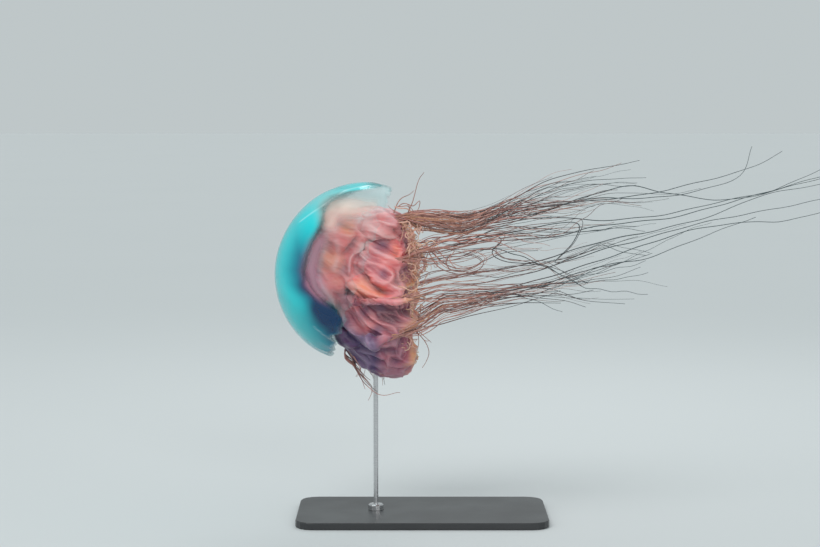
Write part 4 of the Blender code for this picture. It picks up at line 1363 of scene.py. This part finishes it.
def makeFrills():
    bm = bmesh.new()
    edgeLayer = bm.verts.layers.float.new("edge")
    for number, (route, depth, waves) in enumerate(frillShape["routes"]):
        line = curveThrough(metres(route), 0.0005)
        made = bmesh.ops.create_grid(bm, x_segments=150, y_segments=7, size=1.0)
        for vert in made["verts"]:
            part, out = (vert.co.x + 1) / 2, (vert.co.y + 1) / 2
            index = min(len(line) - 2, int(part * (len(line) - 1)))
            base, ahead = line[index], (line[index + 1] - line[index]).normalized()
            away = (base - Vector(frillShape["middle"])).normalized()
            away = (away + Vector((0.8, 0, 0))).normalized()
            away = (away - ahead * away.dot(ahead)).normalized()
            flat = ahead.cross(away)
            swing = 2 * math.pi * waves * part + number
            swing += 1.6 * noise.noise(Vector((part * 9.0, number * 3.0, 0.0)))
            tall = frillShape["depth"] * metres(depth) * (0.45 + 0.55 * math.sin(math.pi * part))
            tall *= 1 + 0.25 * noise.noise(Vector((part * 14, number, 5)))
            ruffle = frillShape["ruffle"] * out**1.4
            place = base + away * tall * (out + 0.10 * math.sin(2 * swing) * out)
            place += flat * ruffle * math.sin(swing) + ahead * ruffle * 0.8 * math.sin(2 * swing)
            vert.co = rimCentre + place
            vert[edgeLayer] = out
    mesh = meshFrom(bm, "oralFrills")
    piece = addPiece("oralFrills", mesh, makeFrillMaterial(), nodesNamed("oral_frill"))
    wall = piece.modifiers.new("Wall", "SOLIDIFY")
    wall.thickness = frillShape["wall"]
    wall.offset = 0.0
    return piece


# Stand, floor, light and camera

standLook = {
    "base": ((0.018, 0.019, 0.021), (0.035, 0.036, 0.038)),
    "rod": ((0.50, 0.50, 0.51), (0.64, 0.64, 0.65)),
}


def dressStand():
    desk = NodeDesk("satin black base")
    smudge = desk.ramp(desk.cloud(9.0, 4.0), 0.35, 0.7)
    desk.set({
        "Base Color": desk.blend(desk.times(smudge, 0.4), *standLook["base"]),
        "Roughness": desk.ramp(smudge, 0.0, 1.0, 0.34, 0.46),
        "Coat Weight": 0.15,
        "Coat Roughness": 0.3,
    })
    desk.bump(desk.cloud(420.0, 3.0), 0.10, 0.0004)
    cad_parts["stand_base"].material_slots[0].material = desk.material
    desk = NodeDesk("brushed steel rod")
    brushed = desk.cloud(1.0, 2.0, desk.objectPlace(size=(60.0, 60.0, 2600.0)))
    desk.set({
        "Base Color": desk.blend(brushed, *standLook["rod"]),
        "Metallic": 1.0,
        "Roughness": desk.ramp(brushed, 0.3, 0.7, 0.22, 0.36),
    })
    desk.bump(brushed, 0.08, 0.0003)
    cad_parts["stand_rod"].material_slots[0].material = desk.material
    print("stand dressed")


studio = {
    "floor": (0.600, 0.630, 0.635),
    "floorShade": (0.570, 0.602, 0.608),
    "world": (0.520, 0.570, 0.580),
    "suns": (((-1.2, -1.6, 2.6), 1.10, 34.0), ((0.7, -2.5, 1.0), 0.65, 30.0)),  # place, strength and degrees
    "lamps": (((0.3, 1.5, 2.0), 1.0, 9.0), ((-1.4, -1.2, 0.9), 0.8, 3.0)),  # place, width and watts
    "lampAim": (-0.05, 0.0, 0.42),
    "cameraPlace": (-0.02039, -3.28744, 0.70094),
    "elevation": 5.0,
    "lens": 86.4,
}


def aimed(name, data, place, aim):
    holder = linked(name, data)
    holder.location = place
    holder.rotation_euler = (Vector(aim) - Vector(place)).to_track_quat("-Z", "Y").to_euler()


def setStudio():
    bm = bmesh.new()
    bmesh.ops.create_grid(bm, x_segments=8, y_segments=8, size=40.0)
    floor = linked("floor", meshFrom(bm, "floor"))
    desk = NodeDesk("pale floor")
    patch = desk.ramp(desk.cloud(0.8, 3.0), 0.3, 0.7, 0.0, 0.25)
    desk.set({"Base Color": desk.blend(patch, studio["floor"], studio["floorShade"]), "Roughness": 0.75})
    floor.data.materials.append(desk.material)

    scene = bpy.context.scene
    scene.world = bpy.data.worlds.new("studio")
    scene.world.use_nodes = True
    background = scene.world.node_tree.nodes["Background"]
    background.inputs["Color"].default_value = (*studio["world"], 1.0)
    background.inputs["Strength"].default_value = 1.0

    for number, (place, strength, wide) in enumerate(studio["suns"]):
        sun = bpy.data.lights.new(f"sun{number}", "SUN")
        sun.energy = strength
        sun.angle = math.radians(wide)
        aimed(f"sun{number}", sun, place, (0, 0, 0))
    for number, (place, width, watts) in enumerate(studio["lamps"]):
        lamp = bpy.data.lights.new(f"softbox{number}", "AREA")
        lamp.size = width
        lamp.energy = watts
        aimed(f"softbox{number}", lamp, place, studio["lampAim"])

    scene.camera = linked("camera", bpy.data.cameras.new("camera"))
    scene.camera.data.lens = studio["lens"]
    scene.camera.data.sensor_width = 36.0
    scene.camera.data.clip_end = 200.0
    scene.camera.location = studio["cameraPlace"]
    scene.camera.rotation_euler = (math.radians(90.0 - studio["elevation"]), 0.0, 0.0)
    scene.view_settings.view_transform = "Standard"
    scene.cycles.transparent_max_bounces = 24
    print("studio set")


def main():
    setStudio()
    makeBell()
    makeLining()
    flesh = fleshTree(makeDrape())
    tentacleLook = makeStrandMaterial("tentacle", 0.0)
    for kind in clusterShapes:
        for side in (-1, 1):
            makeCluster(kind, side, tentacleLook, flesh)
    makeBunch(makeStrandMaterial("bunch", -0.22))
    makeTangle(makeStrandMaterial("curly thread", 0.10, 0.75))
    makeFrills()
    dressStand()


main()
